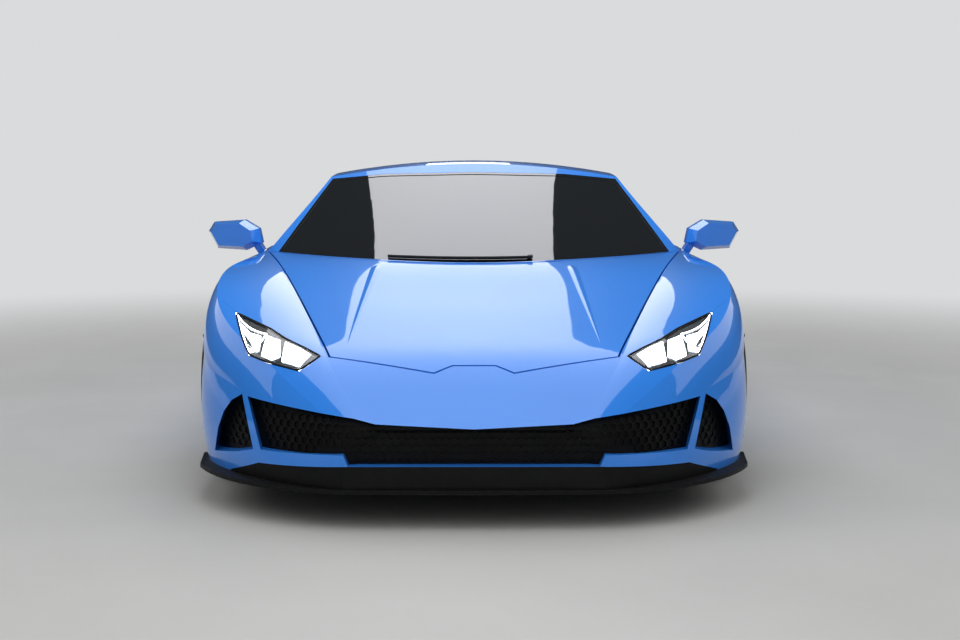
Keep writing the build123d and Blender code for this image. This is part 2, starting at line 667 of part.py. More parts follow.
def lower_panels(shell):
    """The panels cut from the lower body's shell, those of the sides on the left only."""
    arches = arch_cutters()
    floor_top = GROUND_CLEARANCE + FLOOR_WALL
    above_floor = block((-880 - SEAM_GAP, 880 + SEAM_GAP), (500 - SEAM_GAP, 4040 + SEAM_GAP), (0, floor_top + SEAT_GAP))
    bonnet_hole = bonnet_prism(BONNET_GAP)
    cowl_outline = both_sides([(0, 1190), (560, 1335), (830, 1520), (850, 1545), (850, 1599)])
    cabin_hole = plan_prism(both_sides(COWL_REAR + [(790, 1650), (770, 2700)]), 400)
    engine_hole = block((-COVER_HALF - PANEL_GAP, COVER_HALF + PANEL_GAP), (2690, 4330), (400, 1400))
    tunnel = side_prism(TUNNEL, -TUNNEL_HALF, TUNNEL_HALF)
    lamps = [front_prism(points, 150, 640) for points in (HEADLAMP, other_side(HEADLAMP))]

    nodes = {"bonnet": shell & bonnet_prism(0)}
    nodes["floor_pan"] = opened(shell & block((-880, 880), (500, 4040), (0, floor_top)), arches)
    for side in (-1, 1):
        for station in JACK_STATIONS:
            pad = Box(JACK_SIZE, JACK_SIZE, 2 * JACK_DROP)
            nodes["floor_pan"] += Pos(side * JACK_X, place(station), GROUND_CLEARANCE) * pad
    nodes["cowl"] = largest((shell & plan_prism(cowl_outline, 400)) - cabin_hole - bonnet_hole)

    nose = plan_prism([(-1100, -50), (1100, -50), (1100, 765)] + list(reversed(WING_SEAM))
                      + other_side(WING_SEAM) + [(-1100, 765)])
    nose += block((-1100, 1100), (-50, 900), (0, FRONT_TYRE_RADIUS))
    nose_shell = opened(shell & nose, [above_floor, bonnet_hole] + arches[:4])
    intakes = [front_prism(middle_intake_outline(), -50, 430)]
    intakes += [front_prism(points, 150, 520) for points in (OUTER_INTAKE, other_side(OUTER_INTAKE))]
    lip = front_prism(lip_outline(), -50, 560)
    nodes["front_bumper"] = largest(opened(nose_shell, intakes + lamps + [lip]))
    low_nose = front_prism(grow(lip_outline(), -SEAM_GAP), -50, 560)
    nodes["splitter"] = largest((nose_shell & low_nose) + splitter())

    side = (shell & block((0, 1100), (200, REAR_SEAM + 10), (0, 1400))) - above_floor
    behind_seam = plan_prism([(x, s + SEAM_GAP) for x, s in WING_SEAM] + [(1100, 766), (1100, 1599.5), (300, 1599.5)])
    low = block((0, 1100), (-50, 901), (0, FRONT_TYRE_RADIUS + SEAM_GAP))
    below = block((0, 1100), (1150, 1700), (0, SILL_TOP))
    cowl_hole = plan_prism(grow(cowl_outline, SEAT_GAP), 400)
    nodes["wing_left"] = largest(opened(side & behind_seam, [low, below, bonnet_hole, cowl_hole, lamps[0]] + arches[:2]))
    nodes["sill_left"] = largest(opened(side & block((0, 1100), (1150, 3300), (0, SILL_TOP - SEAM_GAP)), arches))
    nodes["door_left"] = largest((side & door_zone(0)) - cabin_hole)
    quarter = side & block((0, 1100), (2500, REAR_SEAM), (SILL_TOP, 1400))
    intake = side_prism(SIDE_INTAKE, INTAKE_FLOOR, 1100)
    nodes["quarter_left"] = largest(opened(quarter, [door_zone(PANEL_GAP), cabin_hole, engine_hole, intake] + arches[4:6]))

    tail = block((-1100, 1100), (REAR_SEAM + SEAM_GAP, 4700), (0, 1400))
    tail += block((-1100, 1100), (3700, REAR_SEAM + 10), (0, SILL_TOP - SEAM_GAP))
    fascia = front_prism(fascia_outline(), 4440, 4600)
    nodes["rear_bumper"] = largest(opened(shell & tail, [above_floor, engine_hole, tunnel, fascia] + arches[4:]))
    return nodes


def upper_panels(nodes, rest):
    """The roof, glass and engine cover, and the rear pillars that run into the panels below them."""
    cabin = cabin_volume() & behind_windscreen()
    space = cabin_volume(CABIN_WALL, 30) & behind_windscreen(30)
    nodes["windscreen"] = ((cabin - behind_windscreen(24)) & front_prism(WINDSCREEN_OUTLINE, 900, 2190)) - rest
    side_glass = (cabin - cabin_volume(GLASS_THICKNESS)) & side_prism(DOOR_GLASS, 500, 1000)
    nodes["door_glass_left"] = (side_glass & door_zone(0)) - rest
    nodes["rear_window"] = space & block((-700, 700), (2680, 2688), (BULKHEAD_HEIGHT + SEAT_GAP, 1300))
    upper = cabin - space
    lid = upper & side_prism(cover_outline(), -COVER_HALF, COVER_HALF)
    for i in range(COVER_SLOTS):
        station = 2960 + i * 205
        slot = [(station, 800), (station - 60, 1300), (station + 30, 1300), (station + 90, 800)]
        lid -= side_prism(slot, -COVER_HALF + 130, COVER_HALF - 130)
    nodes["engine_cover"] = lid
    roof = upper & block((-1100, 1100), (1000, COVER_START - PANEL_GAP - SEAM_GAP), (600, 1400))
    roof -= front_prism(grow(WINDSCREEN_OUTLINE, SEAM_GAP), 900, 2190)
    window = side_prism(grow(DOOR_GLASS, PANEL_GAP), 500, 1000) & door_zone(PANEL_GAP)
    over_door = (Pos(0, 0, PANEL_GAP) * rest) & door_zone(PANEL_GAP)
    nodes["roof"] = largest(opened(roof, [window, mirrored(window), over_door, mirrored(over_door), rest]))
    lid_hole = side_prism(cover_outline(PANEL_GAP), -COVER_HALF - PANEL_GAP, COVER_HALF + PANEL_GAP)
    pillar = (upper & block((0, 1100), (COVER_START - PANEL_GAP, REAR_SEAM), (700, 1400))) - lid_hole
    nodes["quarter_left"] = largest(nodes["quarter_left"] + pillar)
    deck = (upper & block((-1100, 1100), (REAR_SEAM + SEAM_GAP, 4700), (700, 1400))) - lid_hole
    nodes["rear_bumper"] = largest(nodes["rear_bumper"] + deck)


def lamps_and_meshes(outer, inner):
    """The headlamps, the intakes' meshes, the tail's mesh and the tail lamps."""
    lens_back = body_volume(LENS_THICKNESS, LENS_THICKNESS, 0, LENS_THICKNESS)
    behind = LENS_THICKNESS + SEAT_GAP
    housing_front = body_volume(behind, behind, 0, behind)
    mesh_front = body_volume(MESH_RECESS, TOP_WALL - 10, FLOOR_WALL - 10, MESH_RECESS)
    prism = front_prism(grow(HEADLAMP, -SEAT_GAP), 150, 640)
    lens = (outer & prism) - lens_back
    housing = (housing_front & prism) - inner
    middle = (front_prism(grow(middle_intake_outline(), -SEAT_GAP), -50, 430) & mesh_front) - inner
    outer_mesh = (front_prism(grow(OUTER_INTAKE, -SEAT_GAP), 150, 520) & mesh_front) - inner
    fascia = front_prism(grow(fascia_outline(), -SEAT_GAP), 4462, 4470)
    for x in (-PIPE_SPREAD, PIPE_SPREAD):
        fascia -= Pos(x, place(4466), PIPE_HEIGHT) * Rot(90, 0, 0) * Cylinder(PIPE_RADIUS + SEAT_GAP, 40)
    tail_lamp = front_prism(TAIL_LAMP, 4470 + SEAT_GAP, 4500)
    return {
        "headlamps": together(lens, mirrored(lens)),
        "lamp_housings": together(housing, mirrored(housing)),
        "intake_mesh": together(middle, outer_mesh, mirrored(outer_mesh)),
        "tail_mesh": fascia,
        "tail_lamps": together(tail_lamp, mirrored(tail_lamp)),
    }


def build():
    """Every node of the car, as a name and its shape."""
    outer = body_volume()
    inner = body_volume(SIDE_WALL, TOP_WALL, FLOOR_WALL, END_WALL)
    rest = body_volume(-SEAT_GAP, -SEAT_GAP)
    nodes = lower_panels(outer - inner)
    upper_panels(nodes, rest)
    nodes["mirror_left"] = mirror_pod() - rest
    for name in ("wing", "door", "quarter", "door_glass", "mirror"):
        nodes[name + "_right"] = mirrored(nodes[name + "_left"])
    sill = nodes.pop("sill_left")
    nodes["sills"] = together(sill, mirrored(sill))
    nodes.update(lamps_and_meshes(outer, inner))
    nodes.update(running_gear())
    nodes["arch_liners"] = arch_liners()
    nodes["luggage_tub"] = luggage_tub()
    nodes["diffuser"] = diffuser()
    nodes["tail_spoiler"] = tail_spoiler() - rest - cabin_volume(-SEAT_GAP)
    nodes["seats"] = together(seat(STEERING_X), seat(-STEERING_X))
    nodes["dashboard"] = dashboard()
    nodes["steering_wheel"] = steering_wheel()
    nodes["engine"] = engine_block()
    nodes["exhaust"] = exhaust()
    nodes["bulkhead"] = bulkhead()
    return nodes


if __name__ == "__main__":
    nodes = build()
    os.makedirs("parts", exist_ok=True)
    for f in os.listdir("parts"):
        os.remove("parts/" + f)
    for name, shape in nodes.items():
        solids = shape.solids()
        export_step(Compound(solids) if len(solids) > 1 else solids[0], f"parts/{name}.step")
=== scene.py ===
"""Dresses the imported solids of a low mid-engined sports car with its finishes and its fine pieces."""

import json
import math

import bmesh
import bpy
from mathutils import Matrix, Vector
from mathutils.bvhtree import BVHTree


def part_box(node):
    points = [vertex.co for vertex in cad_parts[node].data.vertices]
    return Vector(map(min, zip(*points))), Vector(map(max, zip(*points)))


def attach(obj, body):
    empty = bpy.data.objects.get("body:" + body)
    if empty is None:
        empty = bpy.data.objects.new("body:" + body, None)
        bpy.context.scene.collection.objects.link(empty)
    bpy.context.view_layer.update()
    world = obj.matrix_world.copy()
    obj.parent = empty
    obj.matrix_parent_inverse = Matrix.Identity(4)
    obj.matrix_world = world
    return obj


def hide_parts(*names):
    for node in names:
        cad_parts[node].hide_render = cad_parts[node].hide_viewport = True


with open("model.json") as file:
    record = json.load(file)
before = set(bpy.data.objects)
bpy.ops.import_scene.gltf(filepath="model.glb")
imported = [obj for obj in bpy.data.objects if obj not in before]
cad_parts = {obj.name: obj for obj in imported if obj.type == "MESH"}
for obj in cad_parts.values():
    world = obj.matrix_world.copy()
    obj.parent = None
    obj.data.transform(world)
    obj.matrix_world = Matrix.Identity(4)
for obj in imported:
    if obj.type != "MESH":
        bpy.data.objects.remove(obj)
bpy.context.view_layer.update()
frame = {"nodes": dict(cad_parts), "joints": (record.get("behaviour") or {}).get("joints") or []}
NODES = frame["nodes"]
JOINTS = {joint["name"]: joint for joint in frame["joints"]}

bl_info = {
    "name": "Mid-engined sports car",
    "version": (1, 0, 0),
    "blender": (4, 5, 0),
    "location": "3D View > Sidebar > Car",
    "description": "Adds the finishes and fine pieces of a low mid-engined sports car",
    "category": "Object",
}

# Each wheel's name, with the name that its CAD nodes have
WHEELS = {"left_front": "front_left", "right_front": "front_right",
          "left_rear": "rear_left", "right_rear": "rear_right"}
SIDES = {"left": 1, "right": -1}


class CarColours(bpy.types.PropertyGroup):
    """The colours of the car's finishes, as hex values that a paint chart would give."""

    paint: bpy.props.StringProperty(name="Paint", description="Body colour, sRGB hex", default="2E86EA")
    alloy: bpy.props.StringProperty(name="Alloy", description="Wheel colour, sRGB hex", default="2B2D30")
    hide: bpy.props.StringProperty(name="Leather", description="Seat leather, sRGB hex", default="141416")
    stitch: bpy.props.StringProperty(name="Stitching", description="Thread colour, sRGB hex", default="3E86D8")
    caliper: bpy.props.StringProperty(name="Calipers", description="Caliper enamel, sRGB hex", default="17181A")


class CarSizes(bpy.types.PropertyGroup):
    """The sizes of the fine pieces."""

    tread_depth: bpy.props.FloatProperty(
        name="Tread depth", description="Depth of the tyre's grooves", default=0.007, unit="LENGTH")
    cell: bpy.props.FloatProperty(
        name="Mesh cell", description="Width across a cell of the intake mesh", default=0.026, unit="LENGTH")
    crease_height: bpy.props.FloatProperty(
        name="Crease height", description="How far the bonnet's creases stand up", default=0.007, unit="LENGTH")
    pad_swell: bpy.props.FloatProperty(
        name="Pad swell", description="Farthest that a seat pad's skin moves", default=0.014, unit="LENGTH")
    bolt: bpy.props.FloatProperty(
        name="Wheel bolt", description="Width of a wheel bolt's head", default=0.022, unit="LENGTH")


class StageSettings(bpy.types.PropertyGroup):
    """The camera, the lamps and the floor."""

    lens: bpy.props.FloatProperty(
        name="Lens", description="Focal length on a full-frame sensor", default=52.41, unit="CAMERA")
    ahead: bpy.props.FloatProperty(
        name="Camera distance", description="From the car's middle to the camera", default=6.482, unit="LENGTH")
    height: bpy.props.FloatProperty(
        name="Camera height", description="Above the floor", default=1.083, unit="LENGTH")
    down: bpy.props.FloatProperty(
        name="Tilt", description="How far the camera looks down", default=math.radians(5.81), subtype="ANGLE")
    aside: bpy.props.FloatProperty(
        name="Turn", description="How far the camera looks to its right", default=math.radians(0.243),
        subtype="ANGLE")
    strip_glow: bpy.props.FloatProperty(
        name="Strip lamp", description="Brightness of the long lamp overhead, 1 being white", default=1.85)
    strip_middle: bpy.props.FloatProperty(
        name="Strip lamp's place", description="How far it lies to the car's left", default=-0.1, unit="LENGTH")
    side_power: bpy.props.FloatProperty(
        name="Side lamps", description="Power of each lamp at the sides", default=125.0, unit="POWER")


# Colours and shader nodes

def linear(hex_value):
    """An sRGB hex colour as linear red, green, blue and alpha."""
    channels = [int(hex_value[i:i + 2], 16) / 255 for i in (0, 2, 4)]
    return [c / 12.92 if c <= 0.04045 else ((c + 0.055) / 1.055) ** 2.4 for c in channels] + [1.0]


def add(tree, kind, settings=None, links=None):
    """Adds a shader node with its settings and links. A setting is a property, or an input's name or number."""
    made = tree.nodes.new("ShaderNode" + kind)
    for name, value in (settings or {}).items():
        if isinstance(name, str) and hasattr(made, name):
            setattr(made, name, value)
        else:
            made.inputs[name].default_value = value
    for name, source in (links or {}).items():
        tree.links.new(source, made.inputs[name])
    return made


def finish_tree(name, settings):
    """A new material's tree and its Principled shader with constants set on the shader's own sockets."""
    material = bpy.data.materials.new(name)
    material.use_nodes = True
    tree = material.node_tree
    shader = tree.nodes["Principled BSDF"]
    for socket, value in settings.items():
        shader.inputs[socket].default_value = value
    return material, tree, shader


def per_metre(millimetres):
    """The texture scale whose features are this many millimetres across."""
    return 1000.0 / millimetres


def noise(tree, size, detail=3.0, stretch=None, rough=0.5):
    """Noise on object coordinates with features of a size in millimetres, stretched along an axis if asked."""
    source = add(tree, "TexCoord").outputs["Object"]
    if stretch:
        source = add(tree, "Mapping", {"Scale": stretch}, {"Vector": source}).outputs["Vector"]
    return add(tree, "TexNoise", {"Scale": per_metre(size), "Detail": detail, "Roughness": rough},
               {"Vector": source}).outputs["Fac"]


def spread(tree, factor, low, high, start=0.3, stop=0.7):
    """A number that follows a pattern between two values."""
    return add(tree, "MapRange", {"From Min": start, "From Max": stop, "To Min": low, "To Max": high},
               {"Value": factor}).outputs["Result"]


def blend_colours(tree, factor, first, second):
    """Two hex colours mixed by a pattern."""
    mixed = add(tree, "Mix", {"data_type": "RGBA", 6: linear(first), 7: linear(second)}, {0: factor})
    return mixed.outputs[2]


def bump(tree, shader, height, depth, strength=1.0, under=None):
    """Raises the surface by a pattern whose full height is depth, in millimetres."""
    links = {"Height": height}
    if under:
        links["Normal"] = under
    made = add(tree, "Bump", {"Strength": strength, "Distance": depth / 1000}, links)
    tree.links.new(made.outputs["Normal"], shader.inputs["Normal"])
    return made.outputs["Normal"]


# Finishes

PAINT = "clearcoat_paint_blue"
PLASTIC = "moulded_plastic_black"
GREY_PLASTIC = "moulded_plastic_dark_grey"
SEAL = "extruded_rubber_seal"
LACQUER = "piano_black_lacquer"
LEATHER = "full_grain_leather_black"
SUEDE = "microfibre_suede_black"
CARPET = "needled_carpet_black"
THREAD = "sewing_thread"
COATED_STEEL = "powder_coated_steel"
STAINLESS = "brushed_stainless_steel"
ALUMINIUM = "sand_cast_aluminium"
MIRROR = "silvered_mirror_glass"
DISPLAY = "display_light"


def clearcoat_paint(name, colour, dark):
    """Solid colour under lacquer, sprayed: deep colour, a mirror-like skin and a faint orange peel."""
    material, tree, shader = finish_tree(name, {
        "Roughness": 0.4, "IOR": 1.5, "Specular IOR Level": 0.12,
        "Coat Weight": 1.0, "Coat Roughness": 0.025, "Coat IOR": 1.5})
    flake = noise(tree, 1.6, 2.0)
    base = blend_colours(tree, spread(tree, noise(tree, 420, 2.0), 0.0, 0.10), colour, dark)
    speck = add(tree, "Mix", {"data_type": "RGBA", "blend_type": "ADD", 7: linear("0A1420")},
                {0: spread(tree, flake, 0.0, 0.35, 0.55, 0.75), 6: base})
    tree.links.new(speck.outputs[2], shader.inputs["Base Color"])
    # orange peel of lacquer is about 4 mm wide and a few microns high
    peel = add(tree, "Bump", {"Strength": 0.35, "Distance": 0.00002}, {"Height": noise(tree, 4, 1.0)})
    tree.links.new(peel.outputs["Normal"], shader.inputs["Coat Normal"])
    return material


def mottled(name, settings, colours, cloud, gloss, relief):
    """A finish whose colour drifts between two hex values over a cloud. Cloud, gloss and relief each start with
    a noise's size in millimetres and its detail. The gloss goes on with its lowest and highest roughness, and
    the relief with its depth and strength."""
    material, tree, shader = finish_tree(name, settings)
    if colours:
        tree.links.new(blend_colours(tree, spread(tree, noise(tree, *cloud), 0.0, 1.0), *colours),
                       shader.inputs["Base Color"])
    if gloss:
        size, detail, low, high = gloss
        tree.links.new(spread(tree, noise(tree, size, detail), low, high), shader.inputs["Roughness"])
    size, detail, depth, strength = relief
    bump(tree, shader, noise(tree, size, detail), depth, strength)
    return material


def moulded_plastic(name, colour, worn, rough, grain=1.2, depth=0.05):
    """Injection-moulded plastic with a fine spark-eroded grain, paler where hands and stones rub it."""
    return mottled(name, {"IOR": 1.46, "Specular IOR Level": 0.25}, (colour, worn), (60, 4.0),
                   (18, 3.0, rough, rough + 0.12), (grain, 2.0, depth, 0.6))


def lacquered(name, colour, worn, rough=0.12, metallic=0.0, coat=0.8):
    """A smooth lacquer or enamel over a hard part, with faint dust in its gloss."""
    return mottled(name, {"IOR": 1.5, "Metallic": metallic, "Coat Weight": coat, "Coat Roughness": 0.05},
                   (colour, worn), (45, 4.0), (12, 4.0, rough, rough + 0.1), (3.0, 1.0, 0.01, 0.3))


def rubber(name, wall, dust):
    """Vulcanised tyre rubber: charcoal, matt, with fine mould lines on its walls and dust in the tread."""
    return mottled(name, {"IOR": 1.52, "Specular IOR Level": 0.35}, (wall, dust), (30, 5.0),
                   (8, 4.0, 0.62, 0.85), (0.9, 3.0, 0.12, 0.5))


def cast_metal(name, colour, dark, rough=0.5, metallic=1.0, grain=1.5, depth=0.15):
    """Sand-cast or forged metal with the grit of its mould."""
    return mottled(name, {"Metallic": metallic}, (colour, dark), (25, 5.0),
                   (6, 4.0, rough - 0.1, rough + 0.15), (grain, 4.0, depth, 0.5))


def turned_steel(name, colour, dark, stretch, rough=0.28):
    """Machined or brushed steel: fine tool lines drawn out along one direction, and a heat tint in places."""
    material, tree, shader = finish_tree(name, {"Metallic": 1.0})
    lines = noise(tree, 1.2, 4.0, stretch)
    tree.links.new(blend_colours(tree, spread(tree, noise(tree, 40, 3.0), 0.0, 1.0), colour, dark),
                   shader.inputs["Base Color"])
    tree.links.new(spread(tree, lines, rough - 0.08, rough + 0.14), shader.inputs["Roughness"])
    bump(tree, shader, lines, 0.03, 0.5)
    return material


def hide(name, colour, worn):
    """Dyed full-grain leather: pebbled cells, with worn gloss on their crowns."""
    material, tree, shader = finish_tree(name, {"IOR": 1.45, "Specular IOR Level": 0.45, "Sheen Weight": 0.12})
    place = add(tree, "TexCoord")
    # real pebbles are about 1 mm wide and are drawn at 2.2 mm, so that they show
    cells = add(tree, "TexVoronoi", {"feature": "DISTANCE_TO_EDGE", "Scale": per_metre(2.2)},
                {"Vector": place.outputs["Object"]}).outputs["Distance"]
    tree.links.new(blend_colours(tree, spread(tree, noise(tree, 70, 4.0), 0.0, 1.0), colour, worn),
                   shader.inputs["Base Color"])
    tree.links.new(spread(tree, noise(tree, 25, 4.0), 0.42, 0.62), shader.inputs["Roughness"])
    fine = bump(tree, shader, noise(tree, 0.8, 3.0), 0.05, 0.4)
    bump(tree, shader, spread(tree, cells, 0.0, 1.0, 0.0, 0.28), 0.22, 0.55, fine)
    return material


def suede(name, colour, pale):
    """Brushed microfibre: matt, with nap that turns pale where it was stroked."""
    settings = {"IOR": 1.4, "Specular IOR Level": 0.2, "Roughness": 0.95,
                "Sheen Weight": 0.7, "Sheen Roughness": 0.5}
    return mottled(name, settings, (colour, pale), (35, 5.0, None, 0.6), None, (0.8, 3.0, 0.15, 0.6))


def clear_solid(name, colour, rough, ior=1.5, transmission=1.0, haze=12, coat=0.0):
    """Glass or clear plastic with a faint unevenness of its float or its mould. A coat is the second mirror
    image that laminated glass gives."""
    settings = {"Base Color": linear(colour), "IOR": ior,
                "Transmission Weight": transmission, "Coat Weight": coat}
    return mottled(name, settings, None, None, (haze, 3.0, rough, rough + 0.02), (260, 1.0, 0.05, 0.15))


def glowing(name, colour, strength, mottle):
    """A light-emitting diode behind its diffuser, faintly uneven."""
    material, tree, shader = finish_tree(name, {"Base Color": linear(colour), "Roughness": 0.3,
                                                "Emission Strength": strength})
    tree.links.new(blend_colours(tree, spread(tree, noise(tree, mottle, 2.0), 0.0, 1.0), colour, "FFFFFF"),
                   shader.inputs["Emission Color"])
    return material


def make_materials(colours):
    """Every finish by its name. Each is named for its real material and how its surface was made."""
    clearcoat_paint(PAINT, colours.paint, "2462B8")
    moulded_plastic(PLASTIC, "050506", "0B0B0C", 0.5)
    moulded_plastic(GREY_PLASTIC, "1C1D1F", "26272A", 0.5, 1.6)
    moulded_plastic(CARPET, "0B0B0C", "19191B", 0.9, 2.5, 1.2)
    moulded_plastic(SEAL, "0A0A0A", "121213", 0.7, 3.0)
    moulded_plastic(THREAD, colours.stitch, "2F6AB4", 0.7, 0.8, 0.2)
    lacquered(LACQUER, "030304", "070708", 0.06)
    lacquered("forged_alloy_gunmetal", colours.alloy, "1D1F21", 0.26, 0.85, 0.6)
    lacquered("caliper_enamel", colours.caliper, "232427", 0.18)
    lacquered(MIRROR, "E4E8EA", "D8DCDE", 0.0, 1.0, 0.0)
    lacquered("stove_enamelled_plate", "C9CBCB", "BEC0C0", 0.3)
    rubber("vulcanised_rubber_black", "101012", "26262A")
    cast_metal(ALUMINIUM, "8C8F92", "66696C", 0.5)
    cast_metal(COATED_STEEL, "17181A", "222326", 0.55, 0.2, 2.0, 0.1)
    turned_steel("turned_steel_disc", "8E9092", "6C6E70", (1.0, 9.0, 9.0))
    turned_steel(STAINLESS, "A5A39E", "7E7A74", (12.0, 1.0, 12.0))
    turned_steel("zinc_plated_steel", "B7B8BA", "8E9194", (3.0, 3.0, 3.0), 0.32)
    hide(LEATHER, colours.hide, "1E1E21")
    suede(SUEDE, "131315", "1F2023")
    clear_solid("laminated_glass_tinted", "1D2122", 0.0, 1.52, 0.93, 60, 1.0)
    clear_solid("polycarbonate_clear", "F4F8FA", 0.0, 1.5)
    clear_solid("acrylic_red", "7A0408", 0.03, 1.49, 0.55)
    clear_solid("acrylic_amber", "C85A06", 0.05, 1.49, 0.4)
    glowing("phosphor_light_white", "EAF3FF", 5.5, 30)
    glowing("diode_light_red", "FF2018", 2.2, 20)
    glowing(DISPLAY, "7FB4F0", 0.7, 8)


# The slot that a finish belongs to, where a piece doesn't name another
SLOTS = {
    "blue_paint": (PAINT,),
    "black_plastic": (PLASTIC, GREY_PLASTIC, SEAL),
    "black_gloss": (LACQUER,),
    "dark_glass": (MIRROR, DISPLAY),
    "engine": ("caliper_enamel", ALUMINIUM),
    "leather": (LEATHER, SUEDE, CARPET, THREAD),
    "lens": ("phosphor_light_white",),
    "red_lens": ("acrylic_red", "acrylic_amber", "diode_light_red"),
    "steel": (STAINLESS, COATED_STEEL, "stove_enamelled_plate", "zinc_plated_steel"),
    "tyre": ("vulcanised_rubber_black",),
}


# Shapes

def skin(*names):
    """The joined surface of CAD nodes, for finding points on it."""
    bm = bmesh.new()
    for name in names:
        bm.from_mesh(NODES[name].data)
    tree = BVHTree.FromBMesh(bm)
    bm.free()
    return tree


def on_skin(tree, point, direction):
    """Where a line from a point meets a surface, with the surface's direction there, or None."""
    spot, normal, _, _ = tree.ray_cast(Vector(point), Vector(direction).normalized())
    if spot is None:
        return None
    return spot, normal if normal.dot(Vector(direction)) < 0 else -normal


def above(tree, x, y):
    """The point of a surface that is seen from above at x and y."""
    return on_skin(tree, (x, y, 3.0), (0, 0, -1))


def ahead(tree, x, z):
    """The point of a surface that is seen from ahead at x and z."""
    return on_skin(tree, (x, -4.0, z), (0, 1, 0))


def beside(tree, y, z, side=1):
    """The point of a surface that is seen from the car's side at y and z."""
    return on_skin(tree, (side * 3.0, y, z), (-side, 0, 0))


def behind(tree, x, z):
    """The point of a surface that is seen from behind at x and z."""
    return on_skin(tree, (x, 4.0, z), (0, -1, 0))


def raised(cast, height):
    """The same way of looking at a surface, with its points lifted off it."""
    def look(first, second):
        point, normal = cast(first, second)
        return point + normal * height, normal
    return look


def rectangle(low, high):
    """The four corners of an upright rectangle between two of them."""
    return [low, (high[0], low[1]), high, (low[0], high[1])]


def patch(bm, across, along, place):
    """A grid of faces whose points are given by place(u, v), each of u and v from 0 to 1."""
    for vert in bmesh.ops.create_grid(bm, x_segments=across, y_segments=along, size=0.5)["verts"]:
        vert.co = place(vert.co.x + 0.5, vert.co.y + 0.5)


def box(bm, low, high, turn=Matrix()):
    """A box between two corners, turned about its middle if asked."""
    low, high = Vector(low), Vector(high)
    matrix = Matrix.Translation((low + high) / 2) @ turn @ Matrix.Diagonal((*(high - low), 1))
    bmesh.ops.create_cube(bm, size=1.0, matrix=matrix)


def round_edges(bm, amount, segments=2, sharp=0.5):
    """Rounds every edge that is sharper than an angle in radians."""
    edges = [e for e in bm.edges if len(e.link_faces) == 2 and e.calc_face_angle() > sharp]
    bmesh.ops.bevel(bm, geom=edges, offset=amount, offset_type="OFFSET", segments=segments, profile=0.5,
                    affect="EDGES", clamp_overlap=True, material=-1)


def slab(bm, points, offset):
    """A flat outline given by its corners, extruded by an offset."""
    corners = [bm.verts.new(p) for p in points]
    face = bmesh.ops.contextual_create(bm, geom=corners)["faces"]
    moved = bmesh.ops.extrude_face_region(bm, geom=face)["geom"]
    bmesh.ops.translate(bm, vec=Vector(offset), verts=[g for g in moved if isinstance(g, bmesh.types.BMVert)])
    bmesh.ops.recalc_face_normals(bm, faces=bm.faces[:])


def lathe(bm, profile, centre, axis, steps=48):
    """A shape turned about an axis. The profile gives distances along the axis and radii."""
    axis = Vector(axis).normalized()
    out = axis.orthogonal().normalized()
    centre = Vector(centre)
    verts = [bm.verts.new(centre + axis * along + out * radius) for along, radius in profile]
    edges = [bm.edges.new(pair) for pair in zip(verts, verts[1:])]
    bmesh.ops.spin(bm, geom=verts + edges, cent=centre, axis=axis, angle=math.tau, steps=steps, use_merge=True)
    bmesh.ops.remove_doubles(bm, verts=bm.verts[:], dist=0.00002)
    bmesh.ops.recalc_face_normals(bm, faces=bm.faces[:])


def disc(bm, centre, axis, radius, thickness, sides=24):
    """A round plate whose middle plane stands across an axis."""
    turn = Vector((0, 0, 1)).rotation_difference(Vector(axis)).to_matrix().to_4x4()
    bmesh.ops.create_cone(bm, cap_ends=True, segments=sides, radius1=radius, radius2=radius, depth=thickness,
                          matrix=Matrix.Translation(centre) @ turn)


def placed(name, data):
    """Puts a mesh, curve, lamp or camera into the scene."""
    made = bpy.data.objects.new(name, data)
    bpy.context.scene.collection.objects.link(made)
    return made


def mesh_of(name, bm):
    """The mesh of a finished shape."""
    mesh = bpy.data.meshes.new(name)
    bm.to_mesh(mesh)
    bm.free()
    return mesh


def dressed(name, mesh, material, body="car", slot=None, smooth=True, subdivide=0, wall=0.0):
    """Makes a piece from a mesh in place, gives it its finish, and lets it ride on a CAD body."""
    piece = placed(name, mesh)
    mesh.materials.clear()
    mesh.materials.append(bpy.data.materials[material])
    if wall:
        solid = piece.modifiers.new("Wall", "SOLIDIFY")
        solid.thickness, solid.offset = wall, -1
    if subdivide:
        subsurf = piece.modifiers.new("Smoothing", "SUBSURF")
        subsurf.levels = subsurf.render_levels = subdivide
    if smooth:
        mesh.polygons.foreach_set("use_smooth", [True] * len(mesh.polygons))
        if not subdivide:
            mesh.set_sharp_from_angle(angle=math.radians(38))
    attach(piece, body)
    slot or next(s for s, materials in SLOTS.items() if material in materials)
    return piece


def finished(name, bm, material, body="car", rounded=0.0, **ways):
    """The same from a shape, with its sharp edges rounded if asked."""
    if rounded:
        round_edges(bm, rounded)
    return dressed(name, mesh_of(name, bm), material, body, **ways)


def blocks(name, corners, material, body="car", turn=Matrix(), **ways):
    """A piece of boxes, each given by two of its corners."""
    bm = bmesh.new()
    for low, high in corners:
        box(bm, low, high, turn)
    return finished(name, bm, material, body, **ways)


def turned(name, profiles, centre, axis, steps, material, body="car", **ways):
    """A piece of shapes turned about one axis."""
    bm = bmesh.new()
    for profile in profiles:
        lathe(bm, profile, centre, axis, steps)
    return finished(name, bm, material, body, **ways)


